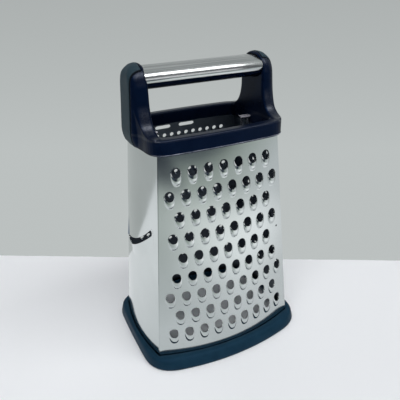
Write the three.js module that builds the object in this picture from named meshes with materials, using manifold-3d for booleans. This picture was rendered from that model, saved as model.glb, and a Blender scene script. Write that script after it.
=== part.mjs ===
// A four-sided kitchen grater with a carrying handle.
// Millimetres, +Z up, origin at the middle of the foot ring's underside.
// The coarse panel faces -Y, the slicer -X, the fine panel +Y and the zester +X.
import * as THREE from "three";
import Module from "manifold-3d";
import { mergeVertices } from "three/addons/utils/BufferGeometryUtils.js";

const wasm = await Module();
wasm.setup();

// Clearance between pieces that touch on the real object
const clearance = 0.3;

// Steel body, measured over its corners at the foot ring's top and at the collar's underside
const sheetThickness = 0.7;
const bodyHeight = 166;
const lowerWidth = 123.6;
const lowerDepth = 79.3;
const lowerFrontBow = 11.8;
const lowerSideBow = 5.1;
const upperWidth = 96.9;
const upperDepth = 65.5;
const upperFrontBow = 2.4;
const upperSideBow = 3;
const flangeWidth = 8;

// Foot ring
const footHeight = 9.2;
const footOverhang = 8.4;
const footCorner = 19;
const footShoulder = 4.4;
const footShoulderCorner = 8;
const footEdge = 1.2;
const footFlatten = 3.9;
const footFloor = 3;
const footGap = 1.8;
const footGapCorner = 3;
const footLip = 2;
const footLipDrop = 1.7;

// Collar
const collarHeight = 11.7;
const collarOverhang = 4.4;
const collarCorner = 12;
const collarEndBow = 2;
const collarEdge = 0.6;
const collarCrown = 2.6;
const collarGap = 0.6;
const collarGapCorner = 0.8;
const collarRoof = 5.9;
const collarWall = 1.2;
const collarEndWall = 1.45;
const collarSkirtLift = 1.3;
const openingCorner = 6;

// Handle posts and their end covers
const postThickness = 11.4;
const postHalfDepth = 15.4;
const postHeight = 45.3;
const postLean = 1.6;
const postSpread = 1;
const postArch = 15;
const postOuterRound = 8.5;
const postInnerRound = 2;
const postCrown = 8.3;
const postBrow = 2.8;
const flareReach = 17;
const flareHeight = 24;
const flareEdge = 1;
const flareSetback = 0.4;
const coverThickness = 2.5;
const coverHalfDepth = 10;
const coverLap = 0.5;
const pegRadius = 2;
const pegLength = 4;
const postPegSpread = 40;
const coverPegDrop = 22;

// Handle bar
const barHalfDepth = 14;
const barHalfHeight = 8;
const barDrop = 10.3;
const sleeveThickness = 0.8;
const sleeveWrap = THREE.MathUtils.degToRad(16);

// Handle screws
const screwRadius = 1.9;
const screwLength = 20;
const screwHeadRadius = 3.6;
const screwHeadHeight = 2.2;

// Retaining clips
const clipWidth = 12;
const clipOffset = 6;
const clipThickness = 0.8;
const clipHeight = 12.5;
const clipDrop = 5;
const clipTongue = 8.5;

// Coarse panel: round holes, each with a raised cutting lip below it
const coarsePitch = 12.32;
const coarseRowPitch = 16.59;
const coarseFirstRow = 20;
const coarseRadius = 3.15;
const coarseLift = 1.7;
const coarseRamp = 4.4;
const coarseRim = 0.8;
const coarseMargin = 0.8;

// Fine panel, with two slots under the collar
const finePitch = 6.62;
const fineRowPitch = 11.65;
const fineFirstRow = 28.85;
const fineRadius = 1.7;
const fineLift = 0.9;
const fineSink = 0.9;
const fineMargin = 8;
const ventPitch = 21.3;
const ventOffset = 7.2;
const ventHalfLength = 6.8;
const ventHalfHeight = 1.4;
const ventDrop = 1.5;

// Zester panel: small burred holes
const zestPitch = 9;
const zestRowPitch = 12.8;
const zestFirstRow = 29.2;
const zestRadius = 2;
const zestLift = 1;
const zestMargin = 6;

// Slicer panel: one slanted slot over a raised blade
const slotHeight = 86;
const slotHalfLength = 32;
const slotHalfWidth = 2.25;
const slotSlant = THREE.MathUtils.degToRad(29);
const slotSag = 4;
const bladeLift = 2.4;
const bladeRamp = 13;
const slotRim = 1.5;
const slotField = 32;

// Smoothness of the curves
const sideSteps = 6;
const cornerSteps = 4;
const curveSteps = 8;
const roundSteps = 16;
const plainSteps = 8;

// Heights that the pieces share
const bodyBase = footHeight;
const collarBase = bodyBase + bodyHeight;
const rimHeight = collarBase + collarHeight;
const grooveRoof = rimHeight - collarRoof;
const postTop = rimHeight + postHeight;
const barHeight = postTop - barDrop;
const steelBottom = footFloor + clearance;
const steelTop = grooveRoof - clearance;

// Places that the pieces share
const seamDepth = 2 * (sheetThickness + clearance);
const postInner = upperWidth / 2 - seamDepth - collarEndWall;
const postOuter = postInner + postThickness;
const coverSeat = postOuter - coverThickness;
const crownRound = Math.min(postCrown, postThickness - postBrow - clearance);
const archTurn = THREE.MathUtils.degToRad(84);
const archFill = Math.sin(archTurn);

const steelLook = { color: 0xc9cfd2, metalness: 1, roughness: 0.18 };
const sleeveLook = { color: 0xb9bdbf, metalness: 1, roughness: 0.3 };
const fastenerLook = { color: 0xa9adb0, metalness: 1, roughness: 0.35 };
const plasticLook = { color: 0x0b0f1c, metalness: 0, roughness: 0.5 };
const coverLook = { color: 0x1c2629, metalness: 0, roughness: 0.6 };
const footLook = { color: 0x0d1822, metalness: 0, roughness: 0.7 };

function piece(name, geometry, look) {
  const mesh = new THREE.Mesh(geometry, new THREE.MeshStandardMaterial(look));
  mesh.name = name;
  return mesh;
}

// A closed geometry as a solid that can be joined and cut
function solidOf(geometry) {
  const bare = geometry.clone();
  bare.deleteAttribute("normal");
  bare.deleteAttribute("uv");
  const merged = mergeVertices(bare);
  return new wasm.Manifold(
    new wasm.Mesh({
      numProp: 3,
      vertProperties: new Float32Array(merged.attributes.position.array),
      triVerts: new Uint32Array(merged.index.array),
    }),
  );
}

function geometryOf(solid) {
  const mesh = solid.getMesh();
  const geometry = new THREE.BufferGeometry();
  geometry.setAttribute("position", new THREE.BufferAttribute(mesh.vertProperties, 3));
  geometry.setIndex(new THREE.BufferAttribute(mesh.triVerts, 1));
  geometry.computeVertexNormals();
  return geometry;
}

function indexedGeometry(points, faces) {
  const geometry = new THREE.BufferGeometry();
  geometry.setAttribute("position", new THREE.Float32BufferAttribute(points.flat(), 3));
  geometry.setIndex(faces.flat());
  geometry.computeVertexNormals();
  return geometry;
}

// A shape drawn in two axes and extruded along the third
function prism(shape, depth, across, up) {
  const options = { depth, curveSegments: curveSteps, bevelEnabled: false };
  const geometry = new THREE.ExtrudeGeometry(shape, options);
  return geometry.applyMatrix4(new THREE.Matrix4().makeBasis(across, up, across.clone().cross(up)));
}

const xAxis = new THREE.Vector3(1, 0, 0);
const yAxis = new THREE.Vector3(0, 1, 0);
const zAxis = new THREE.Vector3(0, 0, 1);

const prismAlongX = (shape, fromX, toX) => prism(shape, toX - fromX, yAxis, zAxis).translate(fromX, 0, 0);
const prismAlongY = (shape, half) => prism(shape, 2 * half, xAxis, zAxis).translate(0, half, 0);
const prismAlongZ = (shape, fromZ, toZ) => prism(shape, toZ - fromZ, xAxis, yAxis).translate(0, 0, fromZ);

function rodAlongX(radius, fromX, toX, y, z) {
  const geometry = new THREE.CylinderGeometry(radius, radius, toX - fromX, roundSteps);
  return geometry.rotateZ(Math.PI / 2).translate((fromX + toX) / 2, y, z);
}

function rodAlongZ(radius, fromZ, toZ, x, y) {
  const geometry = new THREE.CylinderGeometry(radius, radius, toZ - fromZ, roundSteps);
  return geometry.rotateX(Math.PI / 2).translate(x, y, (fromZ + toZ) / 2);
}

// Plan of the steel body at a height: straight taper, bowed sides
function sectionAt(z) {
  const t = (z - bodyBase) / bodyHeight;
  return {
    halfWidth: THREE.MathUtils.lerp(lowerWidth, upperWidth, t) / 2,
    halfDepth: THREE.MathUtils.lerp(lowerDepth, upperDepth, t) / 2,
    frontBow: THREE.MathUtils.lerp(lowerFrontBow, upperFrontBow, t),
    sideBow: THREE.MathUtils.lerp(lowerSideBow, upperSideBow, t),
  };
}

const bowAt = (bow, along, half) => bow * (1 - (along / half) ** 2);

function grown(section, out) {
  return { ...section, halfWidth: section.halfWidth + out, halfDepth: section.halfDepth + out };
}

// A bowed rectangle with rounded corners, counter-clockwise from above
function bowedLoop({ halfWidth, halfDepth, frontBow, sideBow }, corner) {
  const side = (half, depth, bow) =>
    Array.from({ length: sideSteps + 1 }, (_, i) => {
      const along = (half - corner) * ((2 * i) / sideSteps - 1);
      return new THREE.Vector2(along, depth + bowAt(bow, along, half));
    });
  const front = side(halfWidth, halfDepth, frontBow).map((p) => new THREE.Vector2(p.x, -p.y));
  const right = side(halfDepth, halfWidth, sideBow).map((p) => new THREE.Vector2(p.y, p.x));
  const turned = (points) => points.map((p) => p.clone().negate());
  const sides = [front, right, turned(front), turned(right)];
  return sides.flatMap((points, i) => {
    const start = points[sideSteps];
    const end = sides[(i + 1) % 4][0];
    const towards = start.clone().add(end);
    const tip = new THREE.Vector2(Math.sign(towards.x) * halfWidth, Math.sign(towards.y) * halfDepth);
    const round = new THREE.QuadraticBezierCurve(start, tip, end).getPoints(cornerSteps);
    return [...points.slice(0, -1), ...round.slice(0, -1)];
  });
}

// A ring swept through loops of equal length, each at its own height
function loftedRing(levels) {
  const count = levels[0].loop.length;
  const points = levels.flatMap(({ loop, z }) => loop.map((p) => [p.x, p.y, z]));
  const faces = [];
  levels.forEach((_, k) => {
    const here = k * count;
    const next = ((k + 1) % levels.length) * count;
    for (let i = 0; i < count; i++) {
      const j = (i + 1) % count;
      faces.push([here + i, here + j, next + j], [here + i, next + j, next + i]);
    }
  });
  return indexedGeometry(points, faces);
}

// A column swept up through convex loops of equal length and closed at both ends
function loftedColumn(levels) {
  const count = levels[0].loop.length;
  const points = levels.flatMap(({ loop, z }) => loop.map((p) => [p.x, p.y, z]));
  const last = points.length - count;
  const faces = [];
  for (let here = 0; here < last; here += count) {
    const next = here + count;
    for (let i = 0; i < count; i++) {
      const j = (i + 1) % count;
      faces.push([here + i, here + j, next + j], [here + i, next + j, next + i]);
    }
  }
  for (let i = 1; i < count - 1; i++) {
    faces.push([0, i + 1, i], [last, last + i, last + i + 1]);
  }
  return indexedGeometry(points, faces);
}

// A stamped sheet is laid out flat, u across and v up, then bent into place with its thickness
class StampedSheet {
  constructor(place) {
    this.place = place;
    this.flat = [];
    this.faces = [];
    this.walls = [];
  }

  point(u, v, lift = 0) {
    this.flat.push([u, v, lift]);
    return this.flat.length - 1;
  }

  // Fills the band between two rows of points that both run along +u
  strip(lower, upper) {
    let i = 0;
    let j = 0;
    while (i < lower.length - 1 || j < upper.length - 1) {
      const nextLower = i < lower.length - 1 ? this.flat[lower[i + 1]][0] : Infinity;
      const nextUpper = j < upper.length - 1 ? this.flat[upper[j + 1]][0] : Infinity;
      if (nextLower <= nextUpper) {
        this.faces.push([lower[i], lower[i + 1], upper[j]]);
        i++;
      } else {
        this.faces.push([lower[i], upper[j + 1], upper[j]]);
        j++;
      }
    }
  }

  // Fills the web between two loops round one centre, matched by the angle that turnOf gives
  web(outer, inner, turnOf) {
    const sorted = (loop) =>
      loop.map((p) => ({ p, turn: turnOf(this.flat[p]) })).sort((a, b) => a.turn - b.turn);
    const a = sorted(outer);
    const b = sorted(inner);
    const at = (loop, i) => ({
      p: loop[i % loop.length].p,
      turn: loop[i % loop.length].turn + (i >= loop.length ? 2 * Math.PI : 0),
    });
    let i = 0;
    let j = 0;
    while (i < a.length || j < b.length) {
      const stepOuter = j >= b.length || (i < a.length && at(a, i + 1).turn <= at(b, j + 1).turn);
      if (stepOuter) {
        this.faces.push([at(a, i).p, at(a, i + 1).p, at(b, j).p]);
        i++;
      } else {
        this.faces.push([at(a, i).p, at(b, j + 1).p, at(b, j).p]);
        j++;
      }
    }
  }

  // Closes the cut edge along a loop that keeps the material on its left
  wall(loop) {
    loop.forEach((p, i) => this.walls.push([p, loop[(i + 1) % loop.length]]));
  }

  geometry() {
    const count = this.flat.length;
    const outer = this.flat.map(([u, v, lift]) => this.place(u, v, lift));
    const inner = this.flat.map(([u, v, lift]) => this.place(u, v, lift - sheetThickness));
    const faces = [
      ...this.faces,
      ...this.faces.map(([a, b, c]) => [a + count, c + count, b + count]),
      ...this.walls.flatMap(([a, b]) => [[a, a + count, b + count], [a, b + count, b]]),
    ];
    return indexedGeometry([...outer, ...inner], faces);
  }
}

// Cuts rows of holes into a sheet between two heights. A row is { low, high, cells } and a cell is
// { centre: [u, v], half, loops, turnOf }, with its loops from the outermost to the hole's rim.
function patternedSheet({ edgeAt, foldAt, place, rows }) {
  const sheet = new StampedSheet(place);
  const bands = [
    { low: steelBottom, high: rows[0].low, cells: [] },
    ...rows,
    { low: rows[rows.length - 1].high, high: steelTop, cells: [] },
  ];
  const edgesOf = ({ centre, half }) => [centre[0] - half, centre[0] + half];
  const cellEdges = (band) => (band ? band.cells.flatMap(edgesOf) : []);
  const lineAt = (v, below, above) => {
    const fixed = foldAt ? [foldAt(v), edgeAt(v)] : [edgeAt(v)];
    const across = [...fixed.map((u) => -u), ...fixed, ...cellEdges(below), ...cellEdges(above)];
    if (across.length < plainSteps) {
      for (let k = 1; k < plainSteps; k++) {
        across.push(fixed[0] * ((2 * k) / plainSteps - 1));
      }
    }
    across.sort((a, b) => a - b);
    const kept = across.filter((u, k) => k === 0 || u - across[k - 1] > clearance / 10);
    return kept.map((u) => sheet.point(u, v));
  };
  const lines = bands.map((band, k) => lineAt(band.low, bands[k - 1], band));
  lines.push(lineAt(steelTop, bands[bands.length - 1], null));
  const within = (line, from, to) =>
    line.filter((p) => sheet.flat[p][0] > from - clearance / 10 && sheet.flat[p][0] < to + clearance / 10);

  bands.forEach((band, k) => {
    const [lower, upper] = [lines[k], lines[k + 1]];
    const stops = (v) => {
      const fixed = foldAt ? [foldAt(v), edgeAt(v)] : [edgeAt(v)];
      return [...fixed.map((u) => -u).reverse(), ...cellEdges(band), ...fixed];
    };
    const [lowStops, highStops] = [stops(band.low), stops(band.high)];
    const firstCell = foldAt ? 2 : 1;
    for (let s = 0; s < lowStops.length - 1; s++) {
      const bottom = within(lower, lowStops[s], lowStops[s + 1]);
      const top = within(upper, highStops[s], highStops[s + 1]);
      const cell = (s - firstCell) % 2 === 0 ? band.cells[(s - firstCell) / 2] : undefined;
      if (cell) {
        cutCell(sheet, cell, [...bottom, ...top.reverse()]);
      } else if (bottom.length > 1 || top.length > 1) {
        sheet.strip(bottom, top);
      }
    }
  });

  const first = (line) => line[0];
  const last = (line) => line[line.length - 1];
  sheet.wall([
    ...lines[0],
    ...lines.slice(1, -1).map(last),
    ...lines[lines.length - 1].toReversed(),
    ...lines.slice(1, -1).map(first).toReversed(),
  ]);
  return sheet.geometry();
}

// Webs a cell's outline to its ramp and to its hole, and closes the hole's edge
function cutCell(sheet, cell, outline) {
  const [u0, v0] = cell.centre;
  const turnOf = ([u, v]) => cell.turnOf(u - u0, v - v0);
  let outer = outline;
  for (const loop of cell.loops) {
    const inner = loop.map(([u, v, lift]) => sheet.point(u0 + u, v0 + v, lift));
    sheet.web(outer, inner, turnOf);
    outer = inner;
  }
  sheet.wall(outer.toReversed());
}

const plainTurn = (u, v) => Math.atan2(v, u);

// Staggered rows of equal holes that fill a tapered sheet, an odd number of holes in the lowest row
function staggeredRows({ firstRow, pitch, rowPitch, margin, edgeAt, top, sink, loops }) {
  const rows = [];
  for (let v = bodyBase + firstRow; v - sink + rowPitch / 2 <= top; v += rowPitch) {
    const low = v - sink - rowPitch / 2;
    const high = low + rowPitch;
    const room = Math.floor((2 * (Math.min(edgeAt(low), edgeAt(high)) - margin)) / pitch);
    const odd = rows.length % 2 === 0;
    const count = room % 2 === (odd ? 1 : 0) ? room : room - 1;
    const cells = Array.from({ length: count }, (_, i) => ({
      centre: [(i - (count - 1) / 2) * pitch, v],
      half: pitch / 2,
      loops,
      turnOf: plainTurn,
    }));
    rows.push({ low, high, cells });
  }
  return rows;
}

// The rim of a hole with a lip that rises towards its lower side
function lippedRim(sides, radius, lift) {
  return Array.from({ length: sides }, (_, i) => {
    const turn = (2 * Math.PI * i) / sides;
    const rise = Math.max(0, -Math.sin(turn));
    return [radius * Math.cos(turn), radius * Math.sin(turn), lift * rise];
  });
}

function coarseLoops() {
  const wide = coarseRadius + coarseRim;
  const foot = coarseRadius + coarseRamp;
  const ramp = [
    [wide, 0, 0],
    [0, wide, 0],
    [-wide, 0, 0],
    [-wide, -foot / 2, 0],
    [0, -foot, 0],
    [wide, -foot / 2, 0],
  ];
  return [ramp, lippedRim(8, coarseRadius, coarseLift)];
}

function burredRim() {
  const lifted = (u, v) => [u * zestRadius, v * zestRadius, zestLift];
  return [lifted(1, 0), lifted(0, 1), lifted(-1, 0), lifted(0, -1)];
}

const widthAt = (v) => sectionAt(v).halfWidth;
const foldAt = (v) => sectionAt(v).halfDepth - sheetThickness - clearance;
const sideEdgeAt = (v) => foldAt(v) + flangeWidth;

// The outer face of a front or back sheet lies on the bowed front of the body
function frontPlace(u, v, out) {
  const { halfWidth, halfDepth, frontBow } = sectionAt(v);
  return [u, -(halfDepth + bowAt(frontBow, u, halfWidth) + out), v];
}

// A side sheet folds at the corners, and its flanges lie against the inside of the front and back sheets
function leftPlace(u, v, out) {
  const { halfWidth, halfDepth, frontBow, sideBow } = sectionAt(v);
  const fold = foldAt(v);
  const past = Math.abs(u) - fold;
  if (past < -clearance / 10) {
    return [-(halfWidth + bowAt(sideBow, u, halfDepth) + out), -u, v];
  }
  const x = halfWidth - past + (past < clearance / 10 ? out : 0);
  const y = fold + bowAt(frontBow, x, halfWidth) * (past < clearance / 10 ? 0 : 1) + out;
  return [-x, -Math.sign(u) * y, v];
}

const wideSheet = (rows) => patternedSheet({ edgeAt: widthAt, place: frontPlace, rows });
const sideSheet = (rows) => patternedSheet({ edgeAt: sideEdgeAt, foldAt, place: leftPlace, rows });

function frontPanel() {
  const rows = staggeredRows({
    firstRow: coarseFirstRow,
    pitch: coarsePitch,
    rowPitch: coarseRowPitch,
    margin: coarseMargin,
    edgeAt: widthAt,
    top: collarBase,
    sink: (coarseRamp - coarseRim) / 2,
    loops: coarseLoops(),
  });
  return piece("front_panel", wideSheet(rows), steelLook);
}

function ventLoop() {
  const straight = ventHalfLength - ventHalfHeight;
  const end = Array.from({ length: 4 }, (_, i) => {
    const turn = Math.PI * (i / 3 - 0.5);
    return [straight + ventHalfHeight * Math.cos(turn), ventHalfHeight * Math.sin(turn), 0];
  });
  return [...end, ...end.map(([u, v]) => [-u, -v, 0])];
}

function backPanel() {
  const ventHeight = collarBase - ventDrop;
  const ventLow = ventHeight - 2 * ventHalfHeight;
  const rows = staggeredRows({
    firstRow: fineFirstRow,
    pitch: finePitch,
    rowPitch: fineRowPitch,
    margin: fineMargin,
    edgeAt: widthAt,
    top: ventLow + 2 * clearance,
    sink: fineSink,
    loops: [lippedRim(6, fineRadius, fineLift)],
  });
  const vents = [ventOffset + ventPitch / 2, ventOffset - ventPitch / 2].map((u) => ({
    centre: [u, ventHeight],
    half: ventPitch / 2,
    loops: [ventLoop()],
    turnOf: plainTurn,
  }));
  vents.reverse();
  rows.push({ low: rows[rows.length - 1].high, high: ventHeight + 2 * ventHalfHeight, cells: vents });
  const panel = piece("back_panel", wideSheet(rows), steelLook);
  panel.rotation.z = Math.PI;
  return panel;
}

function leftPanel() {
  const centre = [0, bodyBase + slotHeight];
  const slanted = (s, t, lift) => [
    s * Math.cos(slotSlant) - t * Math.sin(slotSlant),
    s * Math.sin(slotSlant) + t * Math.cos(slotSlant),
    lift,
  ];
  const along = Array.from({ length: curveSteps + 1 }, (_, i) => (2 * i) / curveSteps - 1);
  const loopOf = (halfLength, above, below, lift) => {
    const straight = halfLength - slotHalfWidth;
    const rise = (k) => slotSag * k * k;
    const lower = along.map((k) => slanted(straight * k, rise(k) - below(k), lift * (1 - k * k)));
    const upper = along.toReversed().map((k) => slanted(straight * k, rise(k) + above, 0));
    return [...lower, slanted(halfLength, slotSag, 0), ...upper, slanted(-halfLength, slotSag, 0)];
  };
  const stretch = slotHalfLength / (slotHalfWidth + bladeRamp / 2);
  const turnOf = (u, v) => {
    const s = u * Math.cos(slotSlant) + v * Math.sin(slotSlant);
    const t = v * Math.cos(slotSlant) - u * Math.sin(slotSlant);
    const sag = slotSag * (s / slotHalfLength) ** 2;
    return Math.atan2((t - sag) * stretch, s);
  };
  const rim = slotHalfWidth + slotRim;
  const ramp = loopOf(slotHalfLength + slotRim, rim, (k) => rim + (bladeRamp - slotRim) * (1 - k * k), 0);
  const slot = loopOf(slotHalfLength, slotHalfWidth, () => slotHalfWidth, bladeLift);
  const low = centre[1] - slotField;
  const high = centre[1] + slotField;
  const half = foldAt(high) - slotRim;
  const rows = [{ low, high, cells: [{ centre, half, loops: [ramp, slot], turnOf }] }];
  return piece("left_panel", sideSheet(rows), steelLook);
}

function rightPanel() {
  const rows = staggeredRows({
    firstRow: zestFirstRow,
    pitch: zestPitch,
    rowPitch: zestRowPitch,
    margin: zestMargin,
    edgeAt: foldAt,
    top: collarBase,
    sink: 0,
    loops: [burredRim()],
  });
  const panel = piece("right_panel", sideSheet(rows), steelLook);
  panel.rotation.z = Math.PI;
  return panel;
}

// The ring's outer wall leans in to a shoulder; the steel stands in a groove behind it
function footRing() {
  const level = (z, out, corner, flatten = 0) => {
    const section = grown(sectionAt(z), out);
    return { z, loop: bowedLoop({ ...section, sideBow: section.sideBow - flatten }, corner) };
  };
  const skin = (z, out) => level(z, out, footCorner, footFlatten);
  const shoulder = (z, out) => level(z, out, footShoulderCorner, footFlatten / 3);
  const lipTop = footHeight - footLipDrop;
  const shoulderDrop = (footOverhang - footShoulder) / 4;
  const ring = loftedRing([
    skin(0, footOverhang - footEdge),
    skin(footEdge, footOverhang),
    skin(footHeight / 2, footOverhang - footEdge / 2),
    shoulder(footHeight - shoulderDrop, footShoulder + shoulderDrop),
    shoulder(footHeight, footShoulder),
    level(footHeight, footGap, footGapCorner),
    level(footFloor, footGap, footGapCorner),
    level(footFloor, -seamDepth, footGapCorner),
    level(lipTop, -seamDepth, footGapCorner),
    level(lipTop, -seamDepth - footLip, footGapCorner),
    level(0, -seamDepth - footLip, footGapCorner),
  ]);
  return piece("foot_ring", ring, footLook);
}

function collarOutline(out) {
  const section = grown(sectionAt(collarBase), out);
  return bowedLoop({ ...section, sideBow: collarEndBow }, collarCorner);
}

// The collar caps the steel with a groove; its ends are recessed for the covers and take the posts' pegs
function collar() {
  const level = (z, loop) => ({ z, loop });
  const groove = (z, out, corner) => level(z, bowedLoop(grown(sectionAt(z), out), corner));
  const steel = sectionAt(collarBase);
  const opening = (more) =>
    bowedLoop(
      {
        halfWidth: postInner + more,
        halfDepth: steel.halfDepth - seamDepth - collarWall + more,
        frontBow: steel.frontBow,
        sideBow: 0,
      },
      openingCorner,
    );
  const skirt = collarBase + collarSkirtLift;
  let ring = solidOf(
    loftedRing([
      level(collarBase, collarOutline(collarOverhang - collarEdge)),
      level(collarBase + collarEdge, collarOutline(collarOverhang)),
      level(rimHeight - collarCrown, collarOutline(collarOverhang)),
      level(rimHeight - collarCrown / 4, collarOutline(collarOverhang - collarCrown / 2)),
      level(rimHeight, collarOutline(collarOverhang - collarCrown)),
      level(rimHeight, opening(collarEdge)),
      level(rimHeight - collarEdge, opening(0)),
      level(skirt, opening(0)),
      groove(skirt, -seamDepth, collarGapCorner),
      groove(grooveRoof, -seamDepth, collarGapCorner),
      groove(grooveRoof, collarGap, collarGapCorner),
      groove(collarBase, collarGap, collarGapCorner),
    ]),
  );
  const cuts = [coverBlank(clearance)];
  for (const [x, y] of postPegPlaces()) {
    const hole = rodAlongZ(pegRadius + clearance, rimHeight - pegLength, rimHeight + pegLength, x, y);
    cuts.push(solidOf(hole));
  }
  for (const cut of cuts) {
    ring = ring.subtract(cut).subtract(cut.rotate([0, 0, 180]));
  }
  return piece("collar", geometryOf(ring), plasticLook);
}

// Pegs under the left post, over the steel's groove
function postPegPlaces() {
  const x = -(postInner + postThickness / 2);
  return [-1, 1].map((side) => [x, (side * postPegSpread) / 2]);
}

// How far a quarter round has drawn in at a height above its start
function drawnIn(radius, above) {
  const height = THREE.MathUtils.clamp(above, 0, radius);
  return radius - Math.sqrt(radius ** 2 - height ** 2);
}

// The left post's plan at a height: it leans and widens towards its foot, with its outer corners well
// rounded, and draws in to an arch at its top. An inset gives the seat under the cover.
function postSection(z, inset, flare) {
  const top = postTop - inset;
  const towardsFoot = THREE.MathUtils.clamp((postTop - z) / postHeight, 0, 1);
  const lean = inset > 0 ? 0 : postLean * towardsFoot;
  const crown = Math.max(0, crownRound - inset);
  const brow = Math.max(0, postBrow - inset);
  const arch = postArch - inset;
  const rise = archFill * THREE.MathUtils.clamp((z - top + arch) / arch, 0, 1);
  const outer = postOuter - inset + lean - drawnIn(crown, z - top + crown);
  const inner = postInner + drawnIn(brow, z - top + brow);
  const half = (postHalfDepth + postSpread * towardsFoot - inset) * Math.sqrt(1 - rise ** 2) + flare;
  const small = Math.min(postInnerRound, (outer - inner) / 3, half / 3);
  const large = Math.min(postOuterRound, (outer - inner) / 2 + small, half - small);
  const corner = (x, y, radius, from) =>
    Array.from({ length: cornerSteps + 1 }, (_, i) => {
      const turn = from + (Math.PI / 2) * (i / cornerSteps);
      return new THREE.Vector2(x + radius * Math.cos(turn), y + radius * Math.sin(turn));
    });
  return [
    ...corner(large - outer, large - half, large, Math.PI),
    ...corner(-inner - small, small - half, small, 1.5 * Math.PI),
    ...corner(-inner - small, half - small, small, 0),
    ...corner(large - outer, half - large, large, 0.5 * Math.PI),
  ];
}

const postLevel = (z, inset, flare) => ({ z, loop: postSection(z, inset, flare) });

// The left post's shaft from a given height up
function postShaft(bottom, inset = 0) {
  const arch = postArch - inset;
  const spring = postTop - postArch;
  const heights = bottom < rimHeight ? [bottom, rimHeight] : [bottom];
  for (let i = 0; i <= curveSteps; i++) {
    heights.push(spring + (arch * Math.sin((archTurn * i) / curveSteps)) / archFill);
  }
  return solidOf(loftedColumn(heights.map((z) => postLevel(z, inset, 0))));
}

// The concave foot of the left post, kept inside the collar's outline; its top dips into the shaft
function postFlare(bottom) {
  const knee = bottom + flareEdge;
  const levels = [postLevel(bottom, 0, flareReach)];
  for (let i = 0; i <= curveSteps; i++) {
    const t = i / curveSteps;
    const flare = (flareReach + clearance) * (1 - t) ** 2 - clearance;
    levels.push(postLevel(knee + flareHeight * t ** 2, 0, flare));
  }
  const outline = new THREE.Shape(collarOutline(collarOverhang - flareSetback));
  const column = prismAlongZ(outline, 0, postTop);
  return solidOf(loftedColumn(levels)).intersect(solidOf(column));
}

// The strip of the post's outer face and top that the cover fills, grown by a fit
function coverBlank(fit) {
  const bottom = collarBase - collarEdge;
  const end = -postOuter + crownRound + coverLap + fit;
  const past = -postOuter - postLean - coverThickness;
  const shape = new THREE.Shape();
  shape.moveTo(past, bottom);
  shape.lineTo(end, bottom);
  shape.lineTo(end, postTop + coverThickness);
  shape.lineTo(past, postTop + coverThickness);
  const slab = prismAlongY(shape, coverHalfDepth + fit);
  return solidOf(slab).subtract(postShaft(bottom - collarEdge, coverThickness + fit));
}

// A post with a flared foot, and seats for its cover, its screw and its pegs
function leftPost() {
  const bottom = rimHeight + clearance;
  let post = postShaft(bottom).add(postFlare(bottom)).subtract(coverBlank(clearance));
  for (const [x, y] of postPegPlaces()) {
    const peg = rodAlongZ(pegRadius, rimHeight - pegLength + clearance, bottom + flareEdge, x, y);
    post = post.add(solidOf(peg));
  }
  const seat = -coverSeat + clearance;
  const cuts = [
    rodAlongX(screwRadius + clearance, -postOuter, -postInner + clearance, 0, barHeight),
    rodAlongX(screwHeadRadius + clearance, -postOuter, seat + screwHeadHeight + clearance, 0, barHeight),
    rodAlongX(pegRadius + clearance, -postOuter, seat + pegLength, 0, barHeight - coverPegDrop),
  ];
  for (const cut of cuts) {
    post = post.subtract(solidOf(cut));
  }
  return piece("left_post", geometryOf(post), plasticLook);
}

// The soft strip on the post's outer face, held by a peg
function leftCover() {
  const strip = postShaft(collarBase).intersect(coverBlank(0));
  const root = -coverSeat - coverThickness / 2;
  const peg = rodAlongX(pegRadius, root, -coverSeat + pegLength, 0, barHeight - coverPegDrop);
  return piece("left_cover", geometryOf(strip.add(solidOf(peg))), coverLook);
}

// Head and shank turned about the handle's axis, pointing into the bar
function leftScrew() {
  const profile = [
    [0, 0],
    [screwHeadRadius, 0],
    [screwHeadRadius, screwHeadHeight],
    [screwRadius, screwHeadHeight],
    [screwRadius, screwLength],
    [0, screwLength],
  ].map(([r, along]) => new THREE.Vector2(r, along));
  const screw = new THREE.LatheGeometry(profile, roundSteps);
  screw.rotateZ(-Math.PI / 2);
  return piece("left_screw", screw.translate(-coverSeat + clearance, 0, barHeight), fastenerLook);
}

// A bent strip on the collar's inner end face, with a tongue inwards and a tab that hooks the side panel
function leftClip() {
  const face = postInner - clearance;
  const inside = face - clipThickness;
  const bottom = collarBase - clipDrop;
  const top = bottom + clipHeight;
  const { halfWidth, halfDepth, sideBow } = sectionAt(bottom + clipThickness);
  const steelInside = halfWidth + bowAt(sideBow, clipOffset + clipWidth / 2, halfDepth) - sheetThickness;
  const shape = new THREE.Shape();
  shape.moveTo(-inside, bottom);
  shape.lineTo(-inside, top - clipThickness);
  shape.lineTo(-face + clipTongue, top - clipThickness);
  shape.lineTo(-face + clipTongue, top);
  shape.lineTo(-face, top);
  shape.lineTo(-face, bottom + clipThickness);
  shape.lineTo(-steelInside + clearance, bottom + clipThickness);
  shape.lineTo(-steelInside + clearance, bottom);
  const strip = prismAlongY(shape, clipWidth / 2);
  return piece("left_clip", strip.translate(0, -clipOffset, 0), fastenerLook);
}

function barEllipse(shape, inset, from, to, clockwise) {
  shape.absellipse(0, barHeight, barHalfDepth - inset, barHalfHeight - inset, from, to, clockwise);
}

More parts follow.
